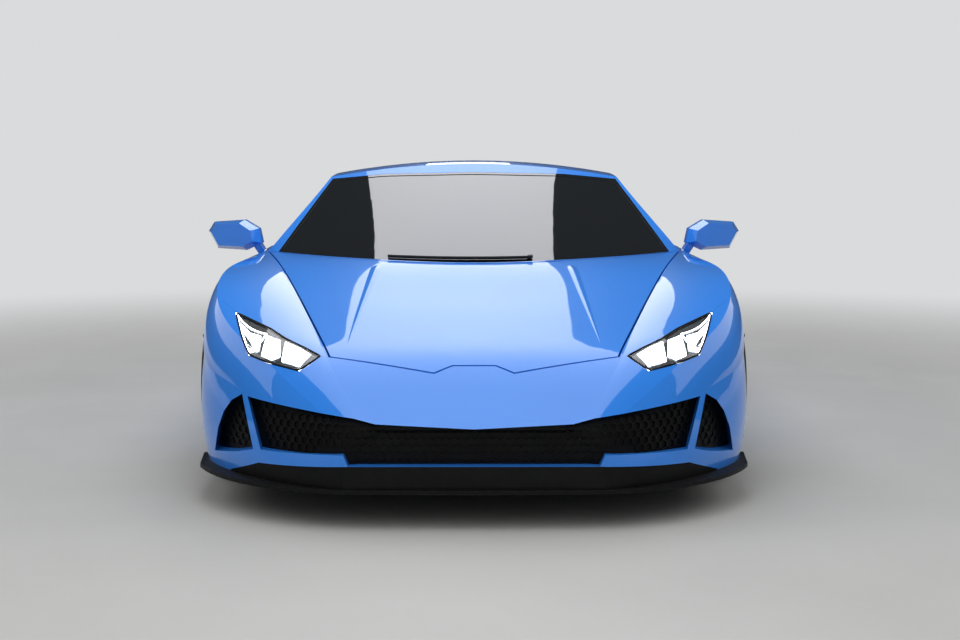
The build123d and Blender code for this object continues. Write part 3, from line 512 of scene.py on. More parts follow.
def pipe(name, points, radius, material, body="car", closed=False, sides=4, **ways):
    """A round bar along smooth points, closed at its ends."""
    curve = bpy.data.curves.new(name, "CURVE")
    curve.dimensions, curve.bevel_depth, curve.bevel_resolution = "3D", radius, sides
    curve.use_fill_caps, curve.resolution_u = not closed, 8
    line = curve.splines.new("NURBS" if len(points) > 2 else "POLY")
    line.points.add(len(points) - 1)
    for point, place in zip(line.points, points):
        point.co = (*place, 1.0)
    line.use_cyclic_u = closed
    if line.type == "NURBS":
        line.order_u = min(4, len(points))
        line.use_endpoint_u = not closed
    holder = placed(name + ".line", curve)
    bpy.context.view_layer.update()
    graph = bpy.context.evaluated_depsgraph_get()
    mesh = bpy.data.meshes.new_from_object(holder.evaluated_get(graph))
    bpy.data.objects.remove(holder)
    bpy.data.curves.remove(curve)
    return dressed(name, mesh, material, body, **ways)


def plate_on(name, cast, corners, lift, material, body="car", cells=(12, 24), edge=0.12, **ways):
    """A thin raised plate on a surface. Its corners are given in the plane that cast looks across, and its
    rim falls to the surface over a share of its width."""
    bm = bmesh.new()
    first, second, third, fourth = (Vector(c) for c in corners)

    def spot(u, v):
        flat = first.lerp(second, u).lerp(fourth.lerp(third, u), v)
        point, normal = cast(flat.x, flat.y)
        rise = smooth_step(min(u, 1 - u, v, 1 - v) / edge)
        return point + normal * (lift * rise - 0.0006 * (1 - rise))

    patch(bm, *cells, spot)
    outward = cast(*(sum((Vector(c) for c in corners), Vector((0, 0))) / 4))[1]
    if sum(f.normal.dot(outward) for f in bm.faces) < 0:
        bmesh.ops.reverse_faces(bm, faces=bm.faces[:])
    return finished(name, bm, material, body, **ways)


def smooth_step(t):
    """A share from 0 to 1 that starts and ends gently."""
    t = max(0.0, min(1.0, t))
    return t * t * (3 - 2 * t)


def between(points, t):
    """The point at a share of a line through points that lie evenly along it."""
    place = max(0.0, min(0.999999, t)) * (len(points) - 1)
    first = int(place)
    return Vector(points[first]).lerp(Vector(points[first + 1]), place - first)


def along_line(points, steps, closed=False):
    """Points that divide each stretch of a line into equal steps."""
    points = [Vector(p) for p in points]
    ends = points[1:] + points[:1] if closed else points[1:]
    return [first.lerp(last, step / steps) for first, last in zip(points, ends) for step in range(steps)]


# Finishes of the CAD nodes, by the starts of their names
NODE_FINISHES = {
    PAINT: ("bonnet", "cowl", "front_bumper", "wing_", "sills", "door_left", "door_right",
                             "quarter_", "rear_bumper", "roof", "engine_cover", "mirror_"),
    "laminated_glass_tinted": ("windscreen", "door_glass", "rear_window"),
    "polycarbonate_clear": ("headlamps",),
    PLASTIC: ("splitter", "intake_mesh", "lamp_housings", "tail_mesh", "arch_liners", "diffuser",
                              "floor_pan", "bulkhead"),
    LACQUER: ("tail_spoiler",),
    "acrylic_red": ("tail_lamps",),
    "vulcanised_rubber_black": ("tyre_",),
    "forged_alloy_gunmetal": ("rim_",),
    "turned_steel_disc": ("disc_",),
    ALUMINIUM: ("knuckle", "engine"),
    COATED_STEEL: ("suspension_",),
    STAINLESS: ("exhaust",),
    CARPET: ("luggage_tub",),
    LEATHER: ("seats", "dashboard", "steering_wheel"),
}


class CAR_OT_finish_frame(bpy.types.Operator):
    """Gives every CAD node the finish of its real material"""

    bl_idname = "car.finish_frame"
    bl_label = "Finish the frame"

    def execute(self, context):
        make_materials(context.scene.car_colours)
        for name, node in NODES.items():
            names = [m for m, starts in NODE_FINISHES.items() if name.startswith(starts)]
            exact = [m for m in names if name in NODE_FINISHES[m]]
            for slot in node.material_slots:
                slot.material = bpy.data.materials[(exact or names)[0]]
        return {"FINISHED"}


def backdrop_rays(tree, other):
    """One where a ray is the camera's or of another kind, so that it sees the backdrop."""
    rays = add(tree, "LightPath")
    return add(tree, "Math", {"operation": "MAXIMUM"},
               {0: rays.outputs["Is Camera Ray"], 1: rays.outputs[other]}).outputs[0]


class CAR_OT_make_stage(bpy.types.Operator):
    """Sets the pale floor, the soft lamps and the camera"""

    bl_idname = "car.make_stage"
    bl_label = "Make the stage"

    def make_floor(self, backdrop):
        """A pale floor that runs into the backdrop far from the car, as a studio's paper sweep does."""
        bm = bmesh.new()
        bmesh.ops.create_grid(bm, x_segments=1, y_segments=1, size=60)
        mesh = mesh_of("floor", bm)
        material, tree, shader = finish_tree("sealed_concrete_floor", {"IOR": 1.45, "Specular IOR Level": 0.25})
        tree.links.new(blend_colours(tree, noise(tree, 900, 6.0), "B9B8B4", "C6C5C1"),
                       shader.inputs["Base Color"])
        tree.links.new(spread(tree, noise(tree, 300, 5.0), 0.5, 0.62), shader.inputs["Roughness"])
        bump(tree, shader, noise(tree, 6, 3.0), 0.05, 0.2)
        place = add(tree, "TexCoord")
        reach = add(tree, "VectorMath", {"operation": "LENGTH"}, {0: place.outputs["Object"]})
        far = add(tree, "MapRange", {"interpolation_type": "SMOOTHSTEP", "From Min": 2.7, "From Max": 8.0},
                  {"Value": reach.outputs["Value"]})
        paper = add(tree, "Emission", {"Color": linear(backdrop), "Strength": 1.0})
        sweep = add(tree, "MixShader", {},
                    {0: far.outputs["Result"], 1: shader.outputs[0], 2: paper.outputs[0]})
        shown = add(tree, "MixShader", {},
                    {0: backdrop_rays(tree, "Is Glossy Ray"), 1: shader.outputs[0], 2: sweep.outputs[0]})
        tree.links.new(shown.outputs[0], tree.nodes["Material Output"].inputs["Surface"])
        mesh.materials.append(material)
        placed("floor", mesh)

    def make_world(self, scene, backdrop):
        """Soft light from all sides. The paint mirrors a dim room."""
        scene.world = bpy.data.worlds.new("studio")
        scene.world.use_nodes = True
        tree = scene.world.node_tree
        light = tree.nodes["Background"]
        light.inputs["Color"].default_value = linear("D3D8DE")
        light.inputs["Strength"].default_value = 0.42
        room = add(tree, "Background", {"Color": linear("8F97A0"), "Strength": 0.24})
        paper = add(tree, "Background", {"Color": linear(backdrop), "Strength": 1.0})
        glossy = add(tree, "LightPath").outputs["Is Glossy Ray"]
        lit = add(tree, "MixShader", {}, {0: glossy, 1: light.outputs[0], 2: room.outputs[0]})
        mixed = add(tree, "MixShader", {},
                    {0: backdrop_rays(tree, "Is Transmission Ray"), 1: lit.outputs[0], 2: paper.outputs[0]})
        tree.links.new(mixed.outputs[0], tree.nodes["World Output"].inputs["Surface"])

    def make_lamps(self, stage):
        """A long lit sheet overhead, wider above the nose than behind it, and a lamp at each side."""
        bm = bmesh.new()
        rows = [[bm.verts.new((x, along, 3.1)) for x in (stage.strip_middle - half, stage.strip_middle + half)]
                for along, half in ((-15.0, 1.15), (0.2, 1.0), (1.6, 0.74), (14.0, 0.66))]
        for near, far in zip(rows, rows[1:]):
            bm.faces.new((near[0], near[1], far[1], far[0]))
        mesh = mesh_of("lamp_sheet", bm)
        mesh.materials.append(glowing("lamp_diffuser_sheet", "FFFFFF", stage.strip_glow, 900))
        sheet = placed("lamp_sheet", mesh)
        sheet.visible_camera = False
        for side, sign in SIDES.items():
            data = bpy.data.lights.new(f"{side}_lamp", "AREA")
            data.shape, data.size, data.size_y, data.energy = "RECTANGLE", 3.0, 9.0, stage.side_power
            lamp = placed(f"{side}_lamp", data)
            lamp.location, lamp.rotation_euler = (sign * 5.0, 1.0, 3.6), (0, sign * math.radians(52), 0)
            lamp.visible_camera = False

    def execute(self, context):
        stage, scene = context.scene.car_stage, context.scene
        scene.view_settings.view_transform = "Standard"
        backdrop = "DADBDC"
        self.make_floor(backdrop)
        self.make_world(scene, backdrop)
        self.make_lamps(stage)
        data = bpy.data.cameras.new("camera")
        data.lens, data.sensor_width = stage.lens, 36.0
        data.clip_start, data.clip_end = 0.05, 200.0
        camera = placed("camera", data)
        camera.location = (0, -stage.ahead, stage.height)
        camera.rotation_euler = (math.pi / 2 - stage.down, 0, -stage.aside)
        scene.camera = camera
        return {"FINISHED"}


# Pieces outside

class CAR_OT_make_creases(bpy.types.Operator):
    """Raises the two long creases on the bonnet"""

    bl_idname = "car.make_creases"
    bl_label = "Bonnet creases"

    def execute(self, context):
        tree = skin("bonnet")
        height = context.scene.car_sizes.crease_height
        rear, front = Vector((0.374, -1.045)), Vector((0.421, -1.885))
        across = (front - rear).orthogonal().normalized()
        across *= math.copysign(1, across.x)
        ridge = 0.42  # where the crest stands, as a share of the width
        for side, sign in SIDES.items():

            def spot(u, v, sign=sign):
                # widest near the windscreen, pointed at the nose
                half = 0.021 * (1 - v) ** 0.7 * smooth_step(v / 0.04) + 0.0004
                ground = rear.lerp(front, v) + across * (u - ridge) * 2 * half
                point, normal = above(tree, sign * ground.x, ground.y)
                lift = height * (1 - v) ** 0.6 * smooth_step(v / 0.1)
                share = u / ridge if u < ridge else (1 - u) / (1 - ridge)
                return point + normal * (lift * max(0.0, share) - 0.0004)

            bm = bmesh.new()
            patch(bm, 12, 60, spot)
            bmesh.ops.recalc_face_normals(bm, faces=bm.faces[:])
            if sum(f.normal.z for f in bm.faces) < 0:
                bmesh.ops.reverse_faces(bm, faces=bm.faces[:])
            finished(f"bonnet_crease_{side}", bm, PAINT, "front_lid")
        return {"FINISHED"}


# The headlamp's parts seen from ahead, as x and height in metres on the car's left
LAMP_BARS = (
    [(0.812, 0.622), (0.775, 0.588), (0.735, 0.572), (0.690, 0.566)],
    [(0.812, 0.622), (0.778, 0.570), (0.738, 0.519)],
    [(0.690, 0.566), (0.700, 0.535), (0.738, 0.519)],
)
LAMP_FIELDS = (
    [(0.795, 0.598), (0.745, 0.568), (0.706, 0.560), (0.700, 0.520), (0.735, 0.512)],
    [(0.688, 0.562), (0.640, 0.548), (0.628, 0.505), (0.655, 0.494), (0.692, 0.506)],
    [(0.622, 0.545), (0.572, 0.528), (0.530, 0.509), (0.560, 0.478), (0.622, 0.492)],
)
LAMP_MIDDLE = (0.650, 0.535)
LAMP_EDGE = [(0.496, 0.506), (0.560, 0.466), (0.660, 0.485), (0.739, 0.507), (0.818, 0.628), (0.684, 0.584),
             (0.622, 0.557), (0.550, 0.529)]


class CAR_OT_make_headlamps(bpy.types.Operator):
    """Fills the headlamps with their reflectors and light blades, and seals their lenses"""

    bl_idname = "car.make_headlamps"
    bl_label = "Headlamps"

    def execute(self, context):
        lens = skin("headlamps")
        for side, sign in SIDES.items():

            def inside(line, back):
                return [ahead(lens, sign * x, z)[0] + Vector((0, back, 0)) for x, z in line]

            for index, field in enumerate(LAMP_FIELDS):
                bm = bmesh.new()
                slab(bm, inside(field, 0.0075), (0, 0.001, 0))
                front = min(bm.faces, key=lambda f: f.calc_center_median().y)
                for _ in range(2):
                    bmesh.ops.inset_region(bm, faces=[front], thickness=0.004, depth=0.0)
                    bmesh.ops.translate(bm, vec=(0, -0.0007, 0), verts=front.verts[:])
                finished(f"lamp_reflector_{side}_{index}", bm, "phosphor_light_white")
            for index, line in enumerate(LAMP_BARS):
                pipe(f"lamp_blade_{side}_{index}", inside(line, 0.0062), 0.0028, "phosphor_light_white")
            middle = Vector(LAMP_MIDDLE)
            rim = [Vector(p).lerp(middle, 0.004 / (Vector(p) - middle).length) for p in LAMP_EDGE]
            pipe(f"lamp_seal_{side}", inside(along_line(rim, 5, closed=True), 0), 0.0032, SEAL,
                 closed=True, sides=2)
        return {"FINISHED"}


class CAR_OT_make_wiper(bpy.types.Operator):
    """Lays the wiper along the foot of the windscreen"""

    bl_idname = "car.make_wiper"
    bl_label = "Wiper"

    def execute(self, context):
        glass = skin("windscreen")
        start, length, points = -0.34, 0.56, 15

        def parked(x, lift):
            """A point over the glass on the line where the wiper rests."""
            point, normal = above(glass, x, -1.004 + 0.46 * x * x)
            return point + normal * lift

        line = [parked(start + length * i / (points - 1), 0.009) for i in range(points)]
        pipe("wiper_arm", line[::2], 0.0045, COATED_STEEL, slot="black_plastic")

        def lean(u, v):
            return parked(start + length * v, 0.0008 + 0.008 * u) + Vector((0, 0.003 * u, 0))

        bm = bmesh.new()
        patch(bm, 2, 40, lean)
        finished("wiper_blade", bm, SEAL, wall=0.004)
        bm = bmesh.new()
        disc(bm, line[-1], (0, -0.2, 1), 0.011, 0.014)
        finished("wiper_pivot", bm, COATED_STEEL, rounded=0.003, slot="black_plastic")
        return {"FINISHED"}


def comb(bm, cell, wall, depth, low, high, place):
    """A honeycomb over a flat window, each point moved by place(x, z), which gives None off the surface."""
    up, reach = cell * math.sqrt(3) / 2, cell / math.sqrt(3)
    for row in range(int((high.z - low.z) / up) + 2):
        for column in range(int((high.x - low.x) / cell) + 2):
            x, z = low.x + (column + 0.5 * (row % 2)) * cell, low.z + row * up
            turns = [k * math.pi / 3 for k in range(6)]
            if None in [place(x, z)] + [place(x + reach * math.sin(t), z + reach * math.cos(t)) for t in turns]:
                continue
            bmesh.ops.create_circle(bm, cap_ends=True, segments=6, radius=reach,
                                    matrix=Matrix.Translation((x, 0, z)) @ Matrix.Rotation(math.pi / 2, 4, "X"))
    bmesh.ops.remove_doubles(bm, verts=bm.verts[:], dist=cell * 0.05)
    ring = set(bmesh.ops.inset_individual(bm, faces=bm.faces[:], thickness=wall / 2, depth=0.0)["faces"])
    bmesh.ops.delete(bm, geom=[f for f in bm.faces if f not in ring], context="FACES")
    for vert in bm.verts:
        spot = place(vert.co.x, vert.co.z)
        vert.co.y = spot.y if spot else vert.co.y
    moved = bmesh.ops.extrude_face_region(bm, geom=bm.faces[:])["geom"]
    bmesh.ops.translate(bm, vec=(0, depth, 0), verts=[g for g in moved if isinstance(g, bmesh.types.BMVert)])
    bmesh.ops.recalc_face_normals(bm, faces=bm.faces[:])


class CAR_OT_make_grilles(bpy.types.Operator):
    """Stretches honeycomb mesh over the intakes and the tail"""

    bl_idname = "car.make_grilles"
    bl_label = "Grilles"

    def execute(self, context):
        for name, node, cast, outward, lift in (("intake_comb", "intake_mesh", ahead, -1, -0.009),
                                                ("tail_comb", "tail_mesh", behind, 1, 0.003)):
            tree = skin(node)

            def place(x, z):
                found = cast(tree, x, z)
                return found[0] + Vector((0, lift, 0)) if found and found[1].y * outward > 0.3 else None

            bm = bmesh.new()
            comb(bm, context.scene.car_sizes.cell, 0.0035, 0.006, *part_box(node), place)
            finished(name, bm, PLASTIC, smooth=False)
        return {"FINISHED"}


def wheel_facts(wheel):
    """A wheel's middle, its side, and its tyre's radius and width, from its CAD nodes."""
    low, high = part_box("tyre_" + WHEELS[wheel])
    middle = (low + high) / 2
    return middle, 1 if middle.x > 0 else -1, (high.z - low.z) / 2, high.x - low.x


# A tyre's wall from bead to shoulder: shares of its height, and how far each lies in from its widest place
TYRE_WALL = ((0.08, 0.010), (0.14, 0.0085), (0.16, 0.0065), (0.20, 0.0065), (0.22, 0.0045), (0.40, 0.0012),
             (0.42, 0.0003), (0.46, 0.0003), (0.48, 0.0012), (0.66, 0.0035), (0.68, 0.0024), (0.72, 0.0028),
             (0.74, 0.005), (0.86, 0.009), (0.93, 0.014))
TYRE_BEAD = 0.2545
# Its grooves, and the point of the crown that follows one, as shares of its width
TYRE_GROOVES = ((-0.34, None), (-0.12, 0.06), (0.12, 0.054), (0.34, None))
GROOVE_MOUTH, GROOVE_FOOT = 0.0055, 0.0038


class CAR_OT_make_tyres(bpy.types.Operator):
    """Moulds the tyres with their grooves, shoulder blocks and wall ribs"""

    bl_idname = "car.make_tyres"
    bl_label = "Tyres"

    def execute(self, context):
        depth = context.scene.car_sizes.tread_depth
        for wheel in WHEELS:
            middle, _, radius, width = wheel_facts(wheel)
            half = width / 2

            def crown(x):
                """The tread's radius, which falls towards its shoulders."""
                return radius - 0.0032 * (x / (half - 0.03)) ** 2

            height = radius - 0.006 - TYRE_BEAD
            wall = [(-(half - 0.016), TYRE_BEAD)]
            wall += [(-(half - out), TYRE_BEAD + height * share) for share, out in TYRE_WALL]
            wall.append((-(half - 0.028), radius - 0.0034))
            profile = wall[:]
            for groove, crest in TYRE_GROOVES:
                x = groove * width
                profile += [(x - GROOVE_MOUTH, crown(x)), (x - GROOVE_FOOT, radius - depth),
                            (x + GROOVE_FOOT, radius - depth), (x + GROOVE_MOUTH, crown(x))]
                if crest:
                    profile.append((x + crest * width, crown(0)))
            profile += [(-x, r) for x, r in reversed(wall)]
            bm = bmesh.new()
            lathe(bm, profile, middle, (1, 0, 0), 120)
            # sipes across the shoulders, on every second stretch of three degrees
            faces = []
            for face in bm.faces:
                at = face.calc_center_median() - middle
                turn = math.degrees(math.atan2(at.z, at.y)) % 360
                shoulder = 0.36 * width < abs(at.x) < half - 0.026 and at.yz.length > radius - 0.006
                if shoulder and int(turn / 3) % 2 == 0:
                    faces.append(face)
            bmesh.ops.inset_individual(bm, faces=faces, thickness=0.0035, depth=0.0, use_even_offset=True)
            for vert in {v for f in faces for v in f.verts}:
                arm = vert.co - middle
                arm.x = 0
                vert.co -= arm.normalized() * (depth * 0.7)
            bmesh.ops.recalc_face_normals(bm, faces=bm.faces[:])
            tyre = finished(f"tyre_moulded_{wheel}", bm, "vulcanised_rubber_black", f"{wheel}_wheel")
            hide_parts("tyre_" + WHEELS[wheel])
        return {"FINISHED"}


BOLT_CIRCLE = 0.050
HUB_CAP = ((-0.004, 0.033), (0.005, 0.033), (0.008, 0.030), (0.0095, 0.020), (0.008, 0.012), (0.008, 0.0))
# Where the valve stands on the rim: its distance from the axle and its turn about it
VALVE_PLACE = (0.236, 2.2)
# The rings of drilled holes in a brake disc, each drawn as a dark disc of painted shade: their radii and how
# many each has
DISC_HOLE_SHADES = ((0.128, 12), (0.148, 15), (0.170, 18))


class CAR_OT_make_wheel_fittings(bpy.types.Operator):
    """Fits the bolts, cap and valve of each wheel, and paints dark spots of shade for the drilled holes of its
    disc
    """

    bl_idname = "car.make_wheel_fittings"
    bl_label = "Wheel fittings"

    def execute(self, context):
        bolt = context.scene.car_sizes.bolt
        for wheel, name in WHEELS.items():
            middle, side, _, _ = wheel_facts(wheel)
            rider, outward = f"{wheel}_wheel", Vector((side, 0, 0))
            rim_tree, disc_tree = skin("rim_" + name), skin("disc_" + name)

            def face_at(tree, arm, turn):
                """A point of the wheel's outer face, by its distance from the axle and its turn about it."""
                spot = middle + Vector((0, arm * math.cos(turn), arm * math.sin(turn)))
                found = on_skin(tree, spot + outward * 0.3, -outward)
                return found[0] if found else None

            bm = bmesh.new()
            for index in range(5):
                place = face_at(rim_tree, BOLT_CIRCLE, math.tau * (index + 0.5) / 5)
                disc(bm, place + outward * 0.004, outward, bolt * 0.75, 0.010, 20)
                disc(bm, place + outward * 0.013, outward, bolt / 2, 0.012, 6)
            finished(f"wheel_bolts_{wheel}", bm, "zinc_plated_steel", rider, rounded=0.001)
            hub = (face_at(rim_tree, 0.034, 0.3) - middle).x * side
            cap = [(hub + along, radius) for along, radius in HUB_CAP]
            turned(f"hub_cap_{wheel}", [cap], middle, outward, 40, LACQUER, rider, slot="rim")
            foot = face_at(rim_tree, *VALVE_PLACE)
            if foot:
                bm = bmesh.new()
                disc(bm, foot + outward * 0.010, outward, 0.0045, 0.024, 12)
                disc(bm, foot + outward * 0.024, outward, 0.0055, 0.012, 12)
                finished(f"valve_{wheel}", bm, SEAL, rider)
            # the disc's holes are not cut: each is a thin black disc on its face, painted shade where a hole
            # would show dark
            bm = bmesh.new()
            for ring, count in DISC_HOLE_SHADES:
                for index in range(count):
                    place = face_at(disc_tree, ring, math.tau * (index + ring * 9) / count)
                    if place:
                        disc(bm, place, outward, 0.0035, 0.0006, 10)
            finished(f"disc_holes_{wheel}", bm, LACQUER, rider, slot="brake_disc", smooth=False)
        return {"FINISHED"}


FUEL_FLAP = [(-0.002, 0.078), (0.0012, 0.078), (0.0022, 0.076), (0.0026, 0.060), (0.0028, 0.0)]
# Seen from behind on the car's left, as x and z
MIRROR_GLASS = [(0.915, 0.800), (0.918, 0.868), (0.965, 0.896), (1.072, 0.888), (1.088, 0.860), (1.060, 0.806)]

# Plates on each side: the node they lie on, their corners as y and z, how far they stand out, their finish, the
# body they ride on where it isn't the door, and the number of their faces
SIDE_PLATES = {
    "door_handle": ("door", [(0.13, 0.700), (0.32, 0.712), (0.315, 0.738), (0.13, 0.726)], 0.006,
                    PAINT, None, (12, 24)),
    "door_handle_grip": ("door", [(0.14, 0.688), (0.31, 0.700), (0.31, 0.708), (0.14, 0.696)], 0.0015,
                         PLASTIC, None, (4, 24)),
    "side_lamp": ("wing", [(-0.93, 0.555), (-0.86, 0.560), (-0.855, 0.574), (-0.925, 0.570)], 0.003,
                  "acrylic_amber", "car", (12, 24)),
    "sill_blade": ("sills", [(-0.90, 0.130), (0.86, 0.130), (0.90, 0.172), (-0.86, 0.158)], 0.012,
                   LACQUER, "car", (60, 8)),
}


class CAR_OT_make_side_trim(bpy.types.Operator):
    """Adds the door handles, side lamps, fuel flap, sill blades and mirror glasses"""

    bl_idname = "car.make_side_trim"
    bl_label = "Side trim"

    def execute(self, context):
        for side, sign in SIDES.items():
            for name, (node, corners, lift, material, body, cells) in SIDE_PLATES.items():
                tree = skin(node if node == "sills" else f"{node}_{side}")
                plate_on(f"{name}_{side}", lambda y, z: beside(tree, y, z, sign), corners, lift, material,
                         body or f"{side}_door", cells)
            mirror = skin(f"mirror_{side}")
            bm = bmesh.new()
            corners = [behind(mirror, sign * x, z)[0] + Vector((0, 0.0004, 0)) for x, z in MIRROR_GLASS]
            slab(bm, corners, (0, 0.003, 0))
            finished(f"mirror_glass_{side}", bm, MIRROR, f"{side}_door", rounded=0.0008)
        turned("fuel_flap", [FUEL_FLAP], *beside(skin("quarter_right"), 0.83, 0.74, -1), 48, PAINT)
        return {"FINISHED"}


class CAR_OT_make_wheelhouses(bpy.types.Operator):
    """Closes the wheelhouses inboard, behind the suspension"""

    bl_idname = "car.make_wheelhouses"
    bl_label = "Wheelhouses"

    def execute(self, context):
        for wheel in WHEELS:
            middle, sign, radius, _ = wheel_facts(wheel)
            # the front walls slope down ahead, under the bonnet
            front = wheel.endswith("front")
            inboard, ahead_top, behind_top = (0.50, 0.52, 0.66) if front else (0.46, 0.66, 0.66)
            first, last = middle.y - radius - 0.03, middle.y + radius + 0.03
            outline = ((first, 0.160), (last, 0.160), (last, behind_top), (first, ahead_top))
            bm = bmesh.new()
            slab(bm, [(sign * inboard, y, z) for y, z in outline], (sign * 0.004, 0, 0))
            finished(f"wheelhouse_wall_{wheel}", bm, PLASTIC, rounded=0.001)
        return {"FINISHED"}


# The tail lamp's light guides seen from behind, as x and height in metres on the car's left
TAIL_GUIDES = (
    [(0.435, 0.762), (0.500, 0.768), (0.560, 0.775), (0.610, 0.766), (0.655, 0.752), (0.690, 0.712),
     (0.645, 0.676), (0.600, 0.668), (0.562, 0.660)],
    [(0.655, 0.752), (0.640, 0.728), (0.600, 0.715), (0.552, 0.706)],
)
EXHAUST_BORE = 0.0555
EXHAUST_LIP = [(-0.045, EXHAUST_BORE), (0.001, EXHAUST_BORE), (0.004, 0.0585), (0.001, 0.0625), (-0.03, 0.0625)]


class CAR_OT_make_tail(bpy.types.Operator):
    """Adds the tail's light guides, plate holder, exhaust lips and vents"""

    bl_idname = "car.make_tail"
    bl_label = "Tail"

    def execute(self, context):
        lamps, mesh, bumper = skin("tail_lamps"), skin("tail_mesh"), skin("rear_bumper")
        for side, sign in SIDES.items():
            for index, line in enumerate(TAIL_GUIDES):
                found = [(behind(lamps, sign * x, z) or behind(mesh, sign * x, z))[0] for x, z in line]
                level = max(p.y for p in found) + 0.004
                pipe(f"tail_guide_{side}_{index}", [(p.x, level, p.z) for p in found], 0.0045,
                     "diode_light_red")

            def seen(x, z):
                return behind(bumper, sign * x, z)

            plate_on(f"tail_reflector_{side}", seen,
                     [(0.60, 0.250), (0.685, 0.262), (0.683, 0.280), (0.60, 0.268)], 0.004, "acrylic_red")
            for row in range(3):
                z, far = 0.46 - row * 0.045, 0.735 - row * 0.006
                slat = [(0.62, z), (far, z + 0.02), (far, z + 0.032), (0.62, z + 0.012)]
                plate_on(f"tail_vent_{side}_{row}", seen, slat, 0.0025, PLASTIC, cells=(16, 4))
        low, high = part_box("exhaust")
        height = (low.z + high.z) / 2
        for index, x in enumerate((-0.095, 0.095)):
            turned(f"exhaust_lip_{index}", [EXHAUST_LIP], (x, high.y, height), (0, 1, 0), 56, STAINLESS,
                   slot="exhaust")
            bm = bmesh.new()
            disc(bm, (x, low.y + 0.03, height), (0, 1, 0), EXHAUST_BORE, 0.004, 40)
            finished(f"exhaust_baffle_{index}", bm, COATED_STEEL)
        y = behind(mesh, 0.0, 0.70)[0].y
        blocks("plate_holder", [((-0.26, y - 0.001, 0.655), (0.26, y + 0.014, 0.775))], PLASTIC, rounded=0.004)
        blocks("blank_plate", [((-0.253, y + 0.0142, 0.661), (0.253, y + 0.0160, 0.769))],
               "stove_enamelled_plate", rounded=0.0006)
        return {"FINISHED"}


class CAR_OT_make_engine_dressing(bpy.types.Operator):
    """Dresses the engine under its slatted cover"""

    bl_idname = "car.make_engine_dressing"
    bl_label = "Engine dressing"

    def execute(self, context):
        low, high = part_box("engine")
        top = high.z
        bm = bmesh.new()
        for sign in (-1, 1):
            box(bm, (sign * 0.19 - 0.075, low.y + 0.02, top), (sign * 0.19 + 0.075, high.y - 0.04, top + 0.075),
                Matrix.Rotation(sign * 0.25, 4, "Y"))
        round_edges(bm, 0.014, 3)
        finished("cam_covers", bm, "caliper_enamel")
        bm = bmesh.new()
        box(bm, (-0.105, low.y + 0.05, top + 0.015), (0.105, high.y - 0.06, top + 0.12))
        round_edges(bm, 0.03, 4)
        finished("air_plenum", bm, ALUMINIUM)
        for side, sign in SIDES.items():
            for index in range(5):
                y = low.y + 0.09 + index * 0.065
                bends = ((0.09, 0.09), (0.13, 0.13), (0.18, 0.11), (0.20, 0.05))
                pipe(f"air_runner_{side}_{index}", [(sign * x, y, top + rise) for x, rise in bends], 0.019,
                     ALUMINIUM)
                bm = bmesh.new()
                disc(bm, (sign * 0.235, y, top + 0.078), (sign * 0.25, 0, 1), 0.010, 0.02, 8)
                finished(f"coil_{side}_{index}", bm, PLASTIC)
            for name, x, y in (("brace", 0.48, 0.50), ("rear_brace", 0.47, 1.55)):
                pipe(f"{name}_{side}", [(sign * x, y, 0.70), (sign * 0.10, 0.92, top + 0.17)], 0.013,
                     COATED_STEEL)
            drum = [(0, 0.0), (0, 0.055), (0.15, 0.055), (0.17, 0.045), (0.17, 0.0)]
            turned(f"air_filter_{side}", [drum], (sign * 0.36, 1.27, 0.47), (0, 0, 1), 32, PLASTIC)
        return {"FINISHED"}


# The cabin. Seats are drawn about their own middle plane, then turned over to the other side.

def crowned_block(bm, place, bulge):
    """A block whose sides pull in between its corners, each point moved by place(u, v, w) from -1 to 1."""
    bmesh.ops.create_cube(bm, size=2.0)
    bmesh.ops.subdivide_edges(bm, edges=bm.edges[:], cuts=5, use_grid_fill=True)
    for vert in bm.verts:
        u, v, w = vert.co
        pull = 1 - bulge * (1 - (1 - u * u) * (1 - v * v)) * 0.5
        vert.co = place(u * (1 - bulge * v * v * 0.4), v * (1 - bulge * u * u * 0.4), w * pull)


def evaluated(piece):
    """A piece as its modifiers leave it."""
    return piece.evaluated_get(bpy.context.evaluated_depsgraph_get())


def swollen(piece, limit, voxel=0.007, frames=20):
    """Fills a pad by pressure, as its foam fills its cover, with no point moving further than a limit."""
    remesh = piece.modifiers.new("Even cells", "REMESH")
    remesh.mode, remesh.voxel_size, remesh.use_smooth_shade = "VOXEL", voxel, True
    even = bpy.data.meshes.new_from_object(evaluated(piece))
    piece.modifiers.remove(remesh)
    piece.data = even
    start = [v.co.copy() for v in even.vertices]
    cloth = piece.modifiers.new("Filling", "CLOTH")
    cloth.settings.quality = 4
    cloth.settings.use_pressure = True
    cloth.settings.uniform_pressure_force = 4.0
    cloth.settings.effector_weights.gravity = 0.0
    cloth.point_cache.frame_start, cloth.point_cache.frame_end = 1, frames
    scene = bpy.context.scene
    for frame_number in range(1, frames + 1):
        scene.frame_set(frame_number)
    moved = [v.co.copy() for v in evaluated(piece).data.vertices]
    piece.modifiers.remove(cloth)
    for vert, old, new in zip(even.vertices, start, moved):
        step = new - old
        vert.co = old + step * min(1.0, limit / max(step.length, 1e-9))
    scene.frame_set(1)


SEAT_MIDDLE = 0.38
# Each pad's half width, the y and z of its lower and upper ends, its half thickness, its fill and its cover
SEAT_PADS = {
    "cushion": (0.130, (-0.225, 0.318), (0.105, 0.300), 0.030, 0.7, SUEDE),
    "lumbar": (0.125, (0.150, 0.400), (0.232, 0.590), 0.026, 0.7, SUEDE),
    "shoulder": (0.130, (0.248, 0.625), (0.305, 0.760), 0.024, 0.6, LEATHER),
    "headrest": (0.085, (0.318, 0.800), (0.345, 0.868), 0.024, 0.8, LEATHER),
}
